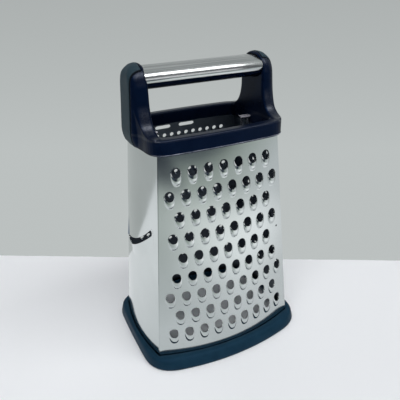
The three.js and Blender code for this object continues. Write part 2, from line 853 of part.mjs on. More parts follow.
// The core fills the sleeve and shows below it; both ends take a screw
function handleCore() {
  const step = clearance / barHalfHeight;
  const shape = new THREE.Shape();
  barEllipse(shape, sleeveThickness + clearance, -sleeveWrap, Math.PI + sleeveWrap, false);
  barEllipse(shape, 0, Math.PI + sleeveWrap + step, 2 * Math.PI - sleeveWrap - step, false);
  const end = postInner - clearance;
  let core = solidOf(prismAlongX(shape, -end, end));
  const depth = -coverSeat + screwLength + 2 * clearance;
  const pilot = rodAlongX(screwRadius + clearance, -postOuter, depth, 0, barHeight);
  core = core.subtract(solidOf(pilot)).subtract(solidOf(pilot.clone().rotateZ(Math.PI)));
  return piece("handle_core", geometryOf(core), plasticLook);
}

function handleSleeve() {
  const shape = new THREE.Shape();
  barEllipse(shape, 0, -sleeveWrap, Math.PI + sleeveWrap, false);
  barEllipse(shape, sleeveThickness, Math.PI + sleeveWrap, -sleeveWrap, true);
  const end = postInner - clearance;
  return piece("handle_sleeve", prismAlongX(shape, -end, end), sleeveLook);
}

// One end of the handle; the other end is the same turned half round
function handleEnd() {
  const end = new THREE.Group();
  end.add(leftPost(), leftCover(), leftScrew(), leftClip());
  return end;
}

const grater = new THREE.Group();
grater.add(footRing(), frontPanel(), backPanel(), leftPanel(), rightPanel(), collar());
grater.add(handleCore(), handleSleeve(), handleEnd());
const rightEnd = handleEnd();
rightEnd.rotation.z = Math.PI;
rightEnd.children.forEach((mesh) => {
  mesh.name = mesh.name.replace("left", "right");
});
grater.add(rightEnd);

export default grater;
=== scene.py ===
# %% [markdown]
# # A box grater, dressed around its CAD frame
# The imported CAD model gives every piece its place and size. This lesson keeps that frame and gives each
# piece the surface that the real one has: stamped teeth, a moulded handle, a steel sleeve, a rubber foot.

# %% Load the frame
import math

import bmesh
import bpy
from mathutils import Matrix, Vector


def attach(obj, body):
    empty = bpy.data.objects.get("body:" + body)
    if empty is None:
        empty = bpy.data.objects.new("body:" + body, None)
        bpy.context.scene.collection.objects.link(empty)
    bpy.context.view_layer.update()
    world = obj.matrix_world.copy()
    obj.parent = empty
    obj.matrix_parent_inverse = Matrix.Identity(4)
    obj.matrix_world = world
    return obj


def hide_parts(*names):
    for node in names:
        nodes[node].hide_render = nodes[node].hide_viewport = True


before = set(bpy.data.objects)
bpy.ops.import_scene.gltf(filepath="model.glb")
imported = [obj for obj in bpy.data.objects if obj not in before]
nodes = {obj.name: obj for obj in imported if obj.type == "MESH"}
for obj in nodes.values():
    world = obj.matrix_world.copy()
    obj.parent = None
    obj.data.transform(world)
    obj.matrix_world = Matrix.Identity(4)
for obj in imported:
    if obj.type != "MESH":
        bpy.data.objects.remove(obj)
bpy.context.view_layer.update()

# %% [markdown]
# ## Camera
# The viewing angle comes from a camera fitted to the grater's grid of holes, whose pitch is known. It is
# kept as an azimuth, an elevation and a small roll about one target point, so that it reads as a person
# would set it up on a tripod.

# %% Camera
MM = 0.001
IMAGE_SIDE = 400
FOCAL_PIXELS = 442.91
SENSOR = 36.0
AZIMUTH = math.radians(-25.58)
ELEVATION = math.radians(25.97)
ROLL = math.radians(-1.73)
TARGET = Vector((-2.37, 0, 117.84)) * MM
DISTANCE = 366.86 * MM


def aim_camera():
    """Adds the camera and turns it towards the target."""
    back = Vector(
        (
            math.sin(AZIMUTH) * math.cos(ELEVATION),
            -math.cos(AZIMUTH) * math.cos(ELEVATION),
            math.sin(ELEVATION),
        )
    )
    level = Vector((math.cos(AZIMUTH), math.sin(AZIMUTH), 0))
    upright = back.cross(level)
    right = math.cos(ROLL) * level + math.sin(ROLL) * upright
    up = math.cos(ROLL) * upright - math.sin(ROLL) * level
    place = Matrix((right, up, back)).transposed().to_4x4()
    place.translation = TARGET + back * DISTANCE
    bpy.ops.object.camera_add()
    camera = bpy.context.object
    camera.matrix_world = place
    camera.data.sensor_width = SENSOR
    camera.data.lens = SENSOR * FOCAL_PIXELS / IMAGE_SIDE
    camera.data.clip_start = 0.01
    bpy.context.scene.camera = camera
    return camera


camera = aim_camera()
print("camera at", [round(v, 4) for v in camera.location])

# %% [markdown]
# ## The body's plan
# Every piece follows one plan: a rectangle with bowed sides that tapers from the foot to the collar. The
# functions below give it at any height, in millimetres, with the CAD model's own values.

# %% Plan of the body at a height
BODY_BASE = 9.2
COLLAR_BASE = 175.2
RIM = 186.9
STEEL_BOTTOM = 3.3
STEEL_TOP = 180.7
SHEET = 0.7
CLEAR = 0.3
SEAM = 2 * (SHEET + CLEAR)


def blend(low, high, t):
    return low + (high - low) * t


def section(z):
    """Half width, half depth, front bow and side bow of the steel at a height."""
    t = (z - BODY_BASE) / (COLLAR_BASE - BODY_BASE)
    return blend(61.8, 48.45, t), blend(39.65, 32.75, t), blend(11.8, 2.4, t), blend(5.1, 3.0, t)


def bow(height, along, half):
    return height * (1 - (along / half) ** 2)


def bowed_loop(z, out, corner, sides=None, side_steps=18, corner_steps=8):
    """A bowed rectangle with rounded corners at a height, grown outwards, counter-clockwise from above."""
    half_width, half_depth, front_bow, side_bow = sides or section(z)
    half_width += out
    half_depth += out
    runs = []
    for half, depth, rise in ((half_width, half_depth, front_bow), (half_depth, half_width, side_bow)):
        along = [(half - corner) * (2 * i / side_steps - 1) for i in range(side_steps + 1)]
        runs.append([(a, depth + bow(rise, a, half)) for a in along])
    front = [Vector((a, -d)) for a, d in runs[0]]
    right = [Vector((d, a)) for a, d in runs[1]]
    order = [front, right, [-p for p in front], [-p for p in right]]
    loop = []
    for i, side in enumerate(order):
        start, end = side[-1], order[(i + 1) % 4][0]
        towards = start + end
        tip = Vector((math.copysign(half_width, towards.x), math.copysign(half_depth, towards.y)))
        loop += side[:-1]
        for k in range(corner_steps):
            t = k / corner_steps
            loop.append((1 - t) ** 2 * start + 2 * t * (1 - t) * tip + t * t * end)
    return [(p.x, p.y, z) for p in loop]


print("plan at the foot:", section(BODY_BASE), "and at the collar:", section(COLLAR_BASE))

# %% [markdown]
# ## Extruding a ring from loop to loop
# Rings, columns and punched holes all have the same making: draw one closed loop, extrude its edges, lay
# the new edges on the next loop, and go on. Here a circle primitive is the first loop, and each extrusion
# is laid on computed points, because they have to follow the bowed plan exactly.

# %% Helpers for extruded rings


def clear_selection():
    """Leaves edit mode with nothing selected."""
    if bpy.context.object and bpy.context.object.mode != "OBJECT":
        bpy.ops.object.mode_set(mode="OBJECT")
    bpy.ops.object.select_all(action="DESELECT")


def select_only(*pieces):
    clear_selection()
    for piece in pieces:
        piece.select_set(True)
    bpy.context.view_layer.objects.active = pieces[0]


def point_key(point):
    return tuple(round(c * 1e6) for c in point)


def lay_selected(mesh, was, now):
    """Moves the selected points from one loop to the next."""
    form = bmesh.from_edit_mesh(mesh)
    index = {point_key(p): i for i, p in enumerate(was)}
    for vert in form.verts:
        if vert.select:
            vert.co = now[index[point_key(vert.co)]]
    bmesh.update_edit_mesh(mesh)


def extruded(name, loops, scale=MM, wrap=False, caps=False):
    """A surface swept through loops of equal length.

    wrap closes the last loop on the first, caps fills both."""
    loops = [[Vector(p) * scale for p in loop] for loop in loops]
    if wrap:
        loops.append(loops[0])
    clear_selection()
    bpy.ops.mesh.primitive_circle_add(vertices=len(loops[0]), radius=1)
    piece = bpy.context.object
    piece.name = piece.data.name = name
    mesh = piece.data
    was = [v.co.copy() for v in mesh.vertices]
    bpy.ops.object.mode_set(mode="EDIT")
    bpy.ops.mesh.select_all(action="SELECT")
    lay_selected(mesh, was, loops[0])
    for was, now in zip(loops, loops[1:]):
        bpy.ops.mesh.extrude_edges_move()
        lay_selected(mesh, was, now)
    bpy.ops.mesh.select_all(action="SELECT")
    if wrap:
        bpy.ops.mesh.remove_doubles(threshold=0.001 * scale)
    if caps:
        bpy.ops.mesh.select_all(action="DESELECT")
        bpy.ops.mesh.select_non_manifold()
        bpy.ops.mesh.fill_holes(sides=0)
        bpy.ops.mesh.select_all(action="SELECT")
    bpy.ops.mesh.normals_make_consistent(inside=False)
    bpy.ops.object.mode_set(mode="OBJECT")
    return piece


def apply(piece, kind, **settings):
    """Adds a modifier with these settings and applies it."""
    select_only(piece)
    modifier = piece.modifiers.new(kind.title(), kind)
    for key, value in settings.items():
        setattr(modifier, key, value)
    bpy.ops.object.modifier_apply(modifier=modifier.name)


def smooth(piece, degrees):
    select_only(piece)
    bpy.ops.object.shade_smooth_by_angle(angle=math.radians(degrees))


def bevelled(piece, width, degrees):
    """Rounds a piece's sharp edges by a small bevel and shades it smooth."""
    sharp = {"limit_method": "ANGLE", "angle_limit": math.radians(degrees)}
    apply(piece, "BEVEL", width=width * MM, segments=2, **sharp)
    smooth(piece, 40)


def joined(name, pieces):
    select_only(*pieces)
    if len(pieces) > 1:
        bpy.ops.object.join()
    pieces[0].name = pieces[0].data.name = name
    return pieces[0]


def triangles(piece):
    return sum(len(face.vertices) - 2 for face in piece.data.polygons)


def report(label, *pieces):
    print(label + ":", sum(triangles(piece) for piece in pieces), "triangles")


print("ready to extrude rings, apply modifiers, smooth and join")

# %% [markdown]
# ## Stamped cells
# A grater's panel is a flat blank, punched and then bent. One tooth is modelled once, flat: the hole's
# edge, then rings out to the edge of its own rectangle. The lower edge of a coarse hole is pushed outwards
# into a thumbnail-shaped scoop, which is what cuts. Copies of the cell tile the blank, with plain grid
# between them, and points on cell borders fall on one grid, so that rows staggered by half a cell weld.

# %% Cells of the panels


def border(half_width, half_height, across, upward):
    """Points round a cell's rectangle from its lower left corner: (u, v, side, share of the side)."""
    corners = [(-1, -1), (1, -1), (1, 1), (-1, 1)]
    points = []
    for side in range(4):
        count = across if side % 2 == 0 else upward
        (u0, v0), (u1, v1) = corners[side], corners[(side + 1) % 4]
        for i in range(count):
            t = i / count
            points.append((blend(u0, u1, t) * half_width, blend(v0, v1, t) * half_height, side, t))
    return points


def turn_of(side, share):
    return math.radians(225 + 90 * (side + share))


def cell(name, edge, rings):
    """Extrudes a hole's loops, innermost first, and out to the cell's rectangle."""
    loops = [[ring(side, share) for _, _, side, share in edge] for ring in rings]
    loops.append([(u, v, 0) for u, v, _, _ in edge])
    piece = extruded(name, loops, scale=1)
    bpy.ops.object.mode_set(mode="EDIT")
    form = bmesh.from_edit_mesh(piece.data)
    if sum(face.normal.z for face in form.faces) < 0:
        bpy.ops.mesh.flip_normals()
    bpy.ops.object.mode_set(mode="OBJECT")
    return piece


def scoop_ring(tooth, share):
    """A ring round a hole at a share of its scoop, from 0 at the cutting edge to 1 at the scoop's foot."""

    def point(side, along):
        turn = turn_of(side, along)
        low = max(0.0, -math.sin(turn))
        square = blend(EDGE_SQUARE, FOOT_SQUARE, min(share, 1)) if low else 1
        across = math.copysign(abs(math.cos(turn)) ** square, math.cos(turn))
        level = tooth["radius"] + tooth["side"] * share
        below = tooth["radius"] * tooth["drawn"] + tooth["reach"] * share
        fall = min(max((share - CREST) / (1 - CREST), 0), 1)
        height = tooth["lift"] * low * (1 + math.cos(math.pi * fall)) / 2
        return level * across, (below if low else level) * math.sin(turn) + tooth["drop"], height

    return point


# The grid (pitch, row), the lowest row (first), the bare margin at the sides, where a hole's row may end
# (sink), how far a hole sits above its cell's middle (drop), and the points on each side of a cell. A
# tooth has a hole (radius, its lower half drawn out), a scoop (reach below, side, lift) and rings at shares
# of the scoop.
COARSE = {"pitch": 12.32, "row": 16.59, "first": 20, "margin": 0.8, "sink": 1.8, "drop": 2.6, "points": 6}
COARSE |= {"radius": 3.38, "drawn": 1.14, "reach": 6.6, "side": 0.7, "lift": 1.8}
COARSE |= {"shares": (0, 0.3, 0.55, 0.7, 0.85, 1, 1.05)}
FINE = {"pitch": 6.62, "row": 11.65, "first": 28.85, "margin": 8, "sink": 0.9, "drop": 0.9, "points": 4}
FINE |= {"radius": 1.7, "drawn": 1.0, "reach": 1.9, "side": 0.35, "lift": 0.9}
FINE |= {"shares": (0, 0.5, 0.85, 1)}
ZEST = {"pitch": 9.0, "row": 12.8, "first": 29.2, "margin": 6, "sink": 0.0, "drop": 0.0, "points": 4}
EDGE_SQUARE, FOOT_SQUARE = 0.86, 0.65
CREST = 0.55


def cell_edge(kind):
    return border(kind["pitch"] / 2, kind["row"] / 2, kind["points"], kind["points"])


def tooth_cell(name, tooth):
    return cell(name, cell_edge(tooth), [scoop_ring(tooth, share) for share in tooth["shares"]])


coarse_cell = tooth_cell("coarse_cell", COARSE)
fine_cell = tooth_cell("fine_cell", FINE)
report("coarse tooth", coarse_cell)
report("fine tooth", fine_cell)

# %% [markdown]
# The zester's holes are punched from inside, so that each one wears a torn crown of four points. The vents
# on the fine panel are plain slots. The slicer's slot is long, slanted and sagging, with its lower lip
# pushed out over a ramp that fades to the slot's ends.

# %% Crown, vent and slicer cells


def crown_ring(radius, lift):
    def point(side, along):
        turn = turn_of(side, along)
        tear = 0.75 + 0.25 * math.cos(4 * turn)
        return radius * math.cos(turn), radius * math.sin(turn), lift * tear

    return point


CROWN = [(1.75, 1.0), (2.05, 0.6), (2.5, 0.18), (2.9, 0.0)]
zest_cell = cell("zest_cell", cell_edge(ZEST), [crown_ring(*ring) for ring in CROWN])

VENT_LENGTH = 6.8
VENT_HEIGHT = 1.4


def vent_ring(shift, grow):
    def point(side, along):
        straight = VENT_LENGTH - VENT_HEIGHT
        half = VENT_HEIGHT + grow
        if side % 2 == 0:
            u, v = straight * (2 * along - 1), -half
        else:
            turn = math.pi * (along - 0.5)
            u, v = straight + half * math.cos(turn), half * math.sin(turn)
        sign = 1 if side < 2 else -1
        return shift + sign * u, sign * v, 0

    return point


SLOT = {"height": 95.2, "length": 32, "width": 2.25, "slant": math.radians(29), "sag": 4.0}
BLADE_LIFT = 2.4
BLADE_RAMP = 13.0
SLOT_RIM = 1.5


def slot_ring(share):
    """A ring round the slicer's slot, from 0 at its edge to 1 at the foot of the raised lip."""

    def point(side, along):
        straight = SLOT["length"] - SLOT["width"]
        if side % 2 == 0:
            k = 2 * along - 1
            s = straight * k
            fade = 1 - k * k
            reach = SLOT["width"] + share * (SLOT_RIM + (BLADE_RAMP - SLOT_RIM) * fade * (side == 0))
            t = -reach
            lift = BLADE_LIFT * fade * max(0.0, 1 - share) ** 1.3 if side == 0 else 0
        else:
            turn = math.pi * (along - 0.5)
            half = SLOT["width"] + share * SLOT_RIM
            s, t, lift = straight + half * math.cos(turn), half * math.sin(turn), 0
        sign = 1 if side < 2 else -1
        s, t = sign * s, sign * t
        t += SLOT["sag"] * (s / straight) ** 2
        cos, sin = math.cos(SLOT["slant"]), math.sin(SLOT["slant"])
        return s * cos - t * sin, s * sin + t * cos, lift

    return point


SLOT_CELL_HALF = 32
SLOT_POINTS = 16
SLOT_SHARES = (0, 0.15, 0.35, 0.6, 0.85, 1, 1.06)
slot_edge = border(SLOT_CELL_HALF, SLOT_CELL_HALF, SLOT_POINTS, SLOT_POINTS)
slot_cell = cell("slot_cell", slot_edge, [slot_ring(share) for share in SLOT_SHARES])
report("zester crown", zest_cell)
report("slicer slot", slot_cell)

# %% [markdown]
# ## Laying out a blank
# A blank is rows of cells, with plain grid on both sides of each row and above and below the pattern. It
# is made too wide and then bisected along the sloping edges, as a press shears a blank. The bend comes
# last: every point moves by the plan's formula, because a taper and a bow together are more than a Simple
# Deform can do. Solidify then gives the sheet its thickness, inwards.

# %% Blanks and how they bend


def staggered(kind, edge, top):
    """Rows of cells: (low, high, [centre across])."""
    rows = []
    v = BODY_BASE + kind["first"]
    while v - kind["sink"] + kind["row"] / 2 <= top:
        high = v - kind["sink"] + kind["row"] / 2
        room = math.floor(2 * (edge(high) - kind["margin"]) / kind["pitch"])
        odd = 1 - len(rows) % 2
        count = room if room % 2 == odd else room - 1
        low = v - kind["drop"] - kind["row"] / 2
        across = [(i - (count - 1) / 2) * kind["pitch"] for i in range(count)]
        rows.append((low, low + kind["row"], across))
        v += kind["row"]
    return rows


def grid(u0, u1, v0, v1, step, upward):
    """A plain stretch of blank."""
    across = max(1, round((u1 - u0) / step))
    clear_selection()
    bpy.ops.mesh.primitive_grid_add(x_subdivisions=across, y_subdivisions=upward, size=1)
    patch = bpy.context.object
    middle = Matrix.Translation(((u0 + u1) / 2, (v0 + v1) / 2, 0))
    patch.data.transform(middle @ Matrix.Diagonal((u1 - u0, v1 - v0, 1, 1)))
    return patch


def cell_copy(original, u, v):
    copy = original.copy()
    copy.data = original.data.copy()
    copy.data.transform(Matrix.Translation((u, v, 0)))
    bpy.context.collection.objects.link(copy)
    return copy


def sheared(blank, edge, keep_inside):
    """Bisects a blank along a pair of sloping lines, and drops what lies outside or keeps both sides."""
    bpy.ops.object.mode_set(mode="EDIT")
    low, high = edge(STEEL_BOTTOM), edge(STEEL_TOP)
    for side in (-1, 1):
        bpy.ops.mesh.select_all(action="SELECT")
        run = Vector((side * (high - low), STEEL_TOP - STEEL_BOTTOM, 0))
        outward = Vector((run.y, -run.x, 0)) * side
        bpy.ops.mesh.bisect(
            plane_co=(side * low, STEEL_BOTTOM, 0),
            plane_no=outward.normalized(),
            clear_outer=keep_inside,
            threshold=0.0005,
        )
    bpy.ops.object.mode_set(mode="OBJECT")


def rows_of(kind, original, edge, top):
    """Staggered rows of one cell, as (low, high, [(u, v, cell, half width)])."""
    return [
        (low, high, [(u, (low + high) / 2, original, kind["pitch"] / 2) for u in across])
        for low, high, across in staggered(kind, edge, top)
    ]


def stamped(name, rows, span, step, upward, edge, place, fold=None):
    """Lays out rows of cells and plain grid, shears them to the edge, and bends them into place."""
    pieces = []
    levels = [(STEEL_BOTTOM, rows[0][0], [])] + rows + [(rows[-1][1], STEEL_TOP, [])]
    for low, high, cells in levels:
        if not cells:
            tall = max(2, round((high - low) / 4))
            pieces.append(grid(-span, span, low, high, step, tall))
            continue
        stops = [-span]
        for u, v, original, half in cells:
            pieces.append(cell_copy(original, u, v))
            stops += [u - half, u + half]
        stops.append(span)
        for left, right in zip(stops[::2], stops[1::2]):
            if right - left > 0.01:
                pieces.append(grid(left, right, low, high, step, upward))
    blank = joined(name, pieces)
    for _ in ("outside", "inside"):
        blank.data.materials.append(None)
    bpy.ops.object.mode_set(mode="EDIT")
    bpy.ops.mesh.select_all(action="SELECT")
    bpy.ops.mesh.remove_doubles(threshold=0.02)
    bpy.ops.object.mode_set(mode="OBJECT")
    sheared(blank, edge, True)
    if fold:
        sheared(blank, fold, False)
    for vert in blank.data.vertices:
        vert.co = Vector(place(*vert.co)) * MM
    apply(blank, "SOLIDIFY", thickness=SHEET * MM, offset=-1, use_even_offset=False, material_offset=1)
    smooth(blank, 32)
    report(name, blank)
    return blank


def width_at(z):
    return section(z)[0]


def fold_at(z):
    return section(z)[1] - SHEET - CLEAR


FLANGE = 4.4


def flange_at(z):
    return fold_at(z) + FLANGE


def front_place(u, v, out):
    half_width, half_depth, front_bow, _ = section(v)
    return u, -(half_depth + bow(front_bow, u, half_width) + out), v


def left_place(u, v, out):
    """Side sheets fold at the corners, and their flanges lie behind the front and back sheets."""
    half_width, half_depth, front_bow, side_bow = section(v)
    fold = fold_at(v)
    past = abs(u) - fold
    if past < 0.01:
        return -(half_width + bow(side_bow, u, half_depth) + out), -u, v
    x = half_width - past
    return -x, -math.copysign(fold + bow(front_bow, x, half_width) + out, u), v


def turned(place):
    """The same place on the opposite side of the body."""

    def opposite(u, v, out):
        x, y, z = place(u, v, out)
        return -x, -y, z

    return opposite


print("sheet", SHEET, "mm, flanges", FLANGE, "mm")

# %% [markdown]
# ## Front panel: coarse teeth
# The coarse side shreds. Its rows are staggered, so that each tooth cuts where the row above it left a
# ridge, and a row has fewer holes where the taper leaves no room. A press punches the whole pattern at
# once. Here one rule lays the rows out, and every hole is a copy of the one coarse cell.

# %% Front panel
front_rows = rows_of(COARSE, coarse_cell, width_at, COLLAR_BASE)
coarse_step = COARSE["pitch"] / COARSE["points"]
front_panel = stamped(
    "coarse_panel", front_rows, 36 * coarse_step, coarse_step, COARSE["points"], width_at, front_place
)
print("rows:", [len(cells) for _, _, cells in front_rows])

# %% [markdown]
# ## Back panel: fine teeth and two vents
# The fine side grates small. It is made as the front is, from the fine cell, with two slots above its rows.
# The slots' rectangles are stretched to the fine rows' grid, and each slot sits off centre in its own.

# %% Back panel
FINE_STEP = FINE["pitch"] / FINE["points"]
VENT_ROW = 173.7
VENT_HALF_ROW = 2.8
VENT_CELL_HALF = 6.5 * FINE_STEP


def vent_cell(name, centre, vent):
    edge = border(VENT_CELL_HALF, VENT_HALF_ROW, 13, 4)
    return cell(name, edge, [vent_ring(vent - centre, 0), vent_ring(vent - centre, 0.25)])


back_rows = rows_of(FINE, fine_cell, width_at, VENT_ROW - 2 * VENT_HEIGHT + 2 * CLEAR)
vent_centres = [-2.5 * FINE_STEP, 10.5 * FINE_STEP]
vent_cells = [
    vent_cell("vent_cell_a", vent_centres[0], -3.45),
    vent_cell("vent_cell_b", vent_centres[1], 17.85),
]
vent_middle = (back_rows[-1][1] + VENT_ROW + VENT_HALF_ROW) / 2
vent_half = (VENT_ROW + VENT_HALF_ROW - back_rows[-1][1]) / 2
for original in vent_cells:
    for vert in original.data.vertices:
        if abs(abs(vert.co.y) - VENT_HALF_ROW) < 0.01:
            vert.co.y = math.copysign(vent_half, vert.co.y) + vent_middle - VENT_ROW
back_rows.append(
    (
        back_rows[-1][1],
        VENT_ROW + VENT_HALF_ROW,
        [(u, VENT_ROW, original, VENT_CELL_HALF) for u, original in zip(vent_centres, vent_cells)],
    )
)
back_panel = stamped(
    "fine_panel", back_rows, 40 * FINE_STEP, FINE_STEP, FINE["points"], width_at, turned(front_place)
)

# %% [markdown]
# ## Side panels: slicer and zester
# The left side has one slicing slot, the right side rows of small crowns for zest. Both sheets are wider
# than their faces: their edges fold back along the corners into flanges, to which the front and back are
# welded. So each blank is bisected at its outer edge and at its fold, and then bent.

# %% Side panels
slot_rows = [
    (
        SLOT["height"] - SLOT_CELL_HALF,
        SLOT["height"] + SLOT_CELL_HALF,
        [(0, SLOT["height"], slot_cell, SLOT_CELL_HALF)],
    )
]
slot_step = 2 * SLOT_CELL_HALF / SLOT_POINTS
left_panel = stamped(
    "slicer_panel", slot_rows, 14 * slot_step, slot_step, SLOT_POINTS, flange_at, left_place, fold_at
)
zest_rows = rows_of(ZEST, zest_cell, fold_at, COLLAR_BASE)
zest_step = ZEST["pitch"] / ZEST["points"]
right_place = turned(left_place)
right_panel = stamped(
    "zester_panel", zest_rows, 24 * zest_step, zest_step, ZEST["points"], flange_at, right_place, fold_at
)
for original in (coarse_cell, fine_cell, zest_cell, slot_cell, *vent_cells):
    bpy.data.objects.remove(original)

# %% [markdown]
# ## Spot welds
# The front and back sheets are welded to the side sheets' flanges, and the electrodes leave small dull
# dots. One dot is extruded from ring to ring, and its copies are laid on the sheets by the panels' formula.

# %% Spot welds
WELDS = [(48.6, 98.2), (49.4, 65.8)]
WELD_RINGS = [(0.85, -0.2), (0.85, 0.04), (0.595, 0.1), (0.2125, 0.05)]
WELD_POINTS = 14


def weld_ring(radius, lift):
    turns = [2 * math.pi * i / WELD_POINTS for i in range(WELD_POINTS)]
    return [(radius * math.cos(t), radius * math.sin(t), lift) for t in turns]


weld = extruded("weld", [weld_ring(*ring) for ring in WELD_RINGS], 1, caps=True)
dots = []
for u, v in WELDS:
    for place in (front_place, turned(front_place)):
        dot = cell_copy(weld, u, v)
        for vert in dot.data.vertices:
            vert.co = Vector(place(*vert.co)) * MM
        dots.append(dot)
bpy.data.objects.remove(weld)
weld_dots = joined("weld_dots", dots)
smooth(weld_dots, 50)
report("welds", weld_dots)

# %% [markdown]
# ## Foot ring
# A soft ring that the steel stands in. Its wall swells a little above the floor, leans in to a rounded
# shoulder, and has a groove for the steel's edge. It is one loop of the body's plan, extruded round the
# ring's profile and closed on itself, and shaded smooth.

# %% Foot ring
FOOT_HEIGHT = 9.2
FOOT_FLATTEN = 3.9


def foot_loop(z, out, corner, flatten):
    half_width, half_depth, front_bow, side_bow = section(z)
    return bowed_loop(z, out, corner, (half_width, half_depth, front_bow, side_bow - flatten))


# Height, how far out from the steel, corner radius, and how much flatter the ends are.
FOOT_PROFILE = [
    (0.0, 7.2, 19, FOOT_FLATTEN),
    (0.5, 8.0, 19, FOOT_FLATTEN),
    (1.4, 8.35, 19, FOOT_FLATTEN),
    (3.0, 8.25, 19, FOOT_FLATTEN),
    (4.8, 7.75, 18, FOOT_FLATTEN * 0.95),
    (6.6, 6.9, 15, FOOT_FLATTEN * 0.75),
    (8.1, 5.7, 11, FOOT_FLATTEN * 0.5),
    (8.95, 4.5, 8, FOOT_FLATTEN / 3),
    (FOOT_HEIGHT, 3.3, 6, FOOT_FLATTEN / 4),
    (FOOT_HEIGHT, 1.4, 2, 0),
    (8.9, 0.6, 0.8, 0),
    (8.4, 0.45, 0.6, 0),
    (3.0, 0.45, 0.6, 0),
    (3.0, -SEAM, 3, 0),
    (7.1, -SEAM, 3, 0),
    (7.5, -SEAM - 0.4, 3, 0),
    (7.5, -SEAM - 1.6, 3, 0),
    (7.1, -SEAM - 2, 3, 0),
    (0.3, -SEAM - 2, 3, 0),
    (0.0, -SEAM - 1.7, 3, 0),
]
foot_ring = extruded("foot", [foot_loop(*level) for level in FOOT_PROFILE], wrap=True)
smooth(foot_ring, 50)
report("foot", foot_ring)

# %% [markdown]
# ## Handle frame
# On the real grater the collar and both posts read as one moulding, with no line between them. They could
# be bridged face by face, but a voxel remesh welds overlapping solids and leaves the small fillets that a
# mould has. So the collar is an extruded ring, each post an extruded column whose foot flares out to the
# collar's outline, and the remesh makes them one.

# %% Handle frame: collar
COLLAR_OUT = 4.4
COLLAR_CORNER = 12
COLLAR_END_BOW = 2.0
COLLAR_BULGE = 4.65
BULGE_HALF = 21.0
POST_INNER = 45.0


def tuck(z):
    """How far the handle's ends curve in below the rim."""
    down = min(max((RIM - z) / (RIM - COLLAR_BASE), 0), 1)
    return COLLAR_BULGE * (1 - math.sqrt(1 - down * down))


def collar_loop(z, out):
    """The collar's outline, which swells at its ends to meet the posts."""
    half_width, half_depth, front_bow, _ = section(COLLAR_BASE)
    sides = (half_width, half_depth, front_bow, COLLAR_END_BOW)
    loop = bowed_loop(z, out, COLLAR_CORNER, sides, side_steps=30)
    swell = COLLAR_BULGE - tuck(z)
    bulged = []
    for x, y, _ in loop:
        near = max(0.0, 1 - (y / BULGE_HALF) ** 2) ** 2 if abs(x) > half_width else 0
        bulged.append((x + math.copysign(swell * near, x), y, z))
    return bulged


def opening_loop(z, more):
    _, half_depth, front_bow, _ = section(COLLAR_BASE)
    return bowed_loop(z, more, 6, (POST_INNER, half_depth - SEAM - 1.2, front_bow, 0), side_steps=30)


def groove_loop(z, out):
    return bowed_loop(z, out, 0.8, section(COLLAR_BASE), side_steps=30)


collar = extruded(
    "collar_ring",
    [
        collar_loop(COLLAR_BASE, COLLAR_OUT - 0.7),
        collar_loop(COLLAR_BASE + 0.7, COLLAR_OUT),
        collar_loop(COLLAR_BASE + 2.5, COLLAR_OUT),
        collar_loop(COLLAR_BASE + 5, COLLAR_OUT),
        collar_loop(RIM - 1.8, COLLAR_OUT),
        collar_loop(RIM - 0.9, COLLAR_OUT - 0.25),
        collar_loop(RIM - 0.25, COLLAR_OUT - 0.9),
        collar_loop(RIM, COLLAR_OUT - 1.8),
        opening_loop(RIM, 0.8),
        opening_loop(RIM - 0.8, 0),
        opening_loop(COLLAR_BASE + 1.3, 0),
        groove_loop(COLLAR_BASE + 1.3, -SEAM),
        groove_loop(181.0, -SEAM),
        groove_loop(181.0, 0.6),
        groove_loop(COLLAR_BASE, 0.6),
    ],
    wrap=True,
)
report("collar", collar)

# %% [markdown]
# The posts hold the ends of the handle bar in shallow sockets, so the bar's oval is needed here already:
# an ellipse across the bar, of which the steel sleeve wraps the upper part.

# %% The bar's oval
BAR_HEIGHT = 221.9
BAR_HALF_DEPTH = 14.0
BAR_HALF_HEIGHT = 8.0
SLEEVE = 0.8
WRAP = math.radians(16)
BAR_END = 46.2


def bar_arc(inset, start, end, steps):
    """Points on the bar's oval, as (y, z)."""
    points = []
    for i in range(steps + 1):
        turn = blend(start, end, i / steps)
        points.append(
            (
                (BAR_HALF_DEPTH - inset) * math.cos(turn),
                BAR_HEIGHT + (BAR_HALF_HEIGHT - inset) * math.sin(turn),
            )
        )
    return points


def bar(name, profile, ends):
    return extruded(name, [[(x, y, z) for y, z in profile] for x in ends], caps=True)


print("bar:", 2 * BAR_HALF_DEPTH, "by", 2 * BAR_HALF_HEIGHT, "mm")

# %% [markdown]
# A post is a column of loops that narrows to an arch at its top. A second, concave column flares its foot
# out to the collar's outline. A pocket on the outside takes the end cover, and a socket on the inside the
# bar: both are Boolean cuts. The other end of the handle is a copy, turned half round.

# %% Handle frame: posts
POST_TOP = 232.2
POST_HEIGHT = 45.3
POST_OUTER = 56.4
POST_LEAN = 3.1
POST_HALF = 15.4
POST_SPREAD = 1.0
POST_ARCH = 15.0
POST_CROWN = 8.3
POST_BROW = 2.8
POST_ROUND = 8.5
FLARE_REACH = 17.0
FLARE_HEIGHT = 24.0
FLARE_STEPS = 16
COVER_THICK = 2.5
COVER_HALF = 10.0
COVER_SEAM = 0.65
POCKET_FIT = 0.35
ARCH_TURN = math.radians(84)


def drawn_in(radius, above):
    """How far a quarter round has drawn in at a height above its start."""
    height = min(max(above, 0.0), radius)
    return radius - math.sqrt(radius * radius - height * height)


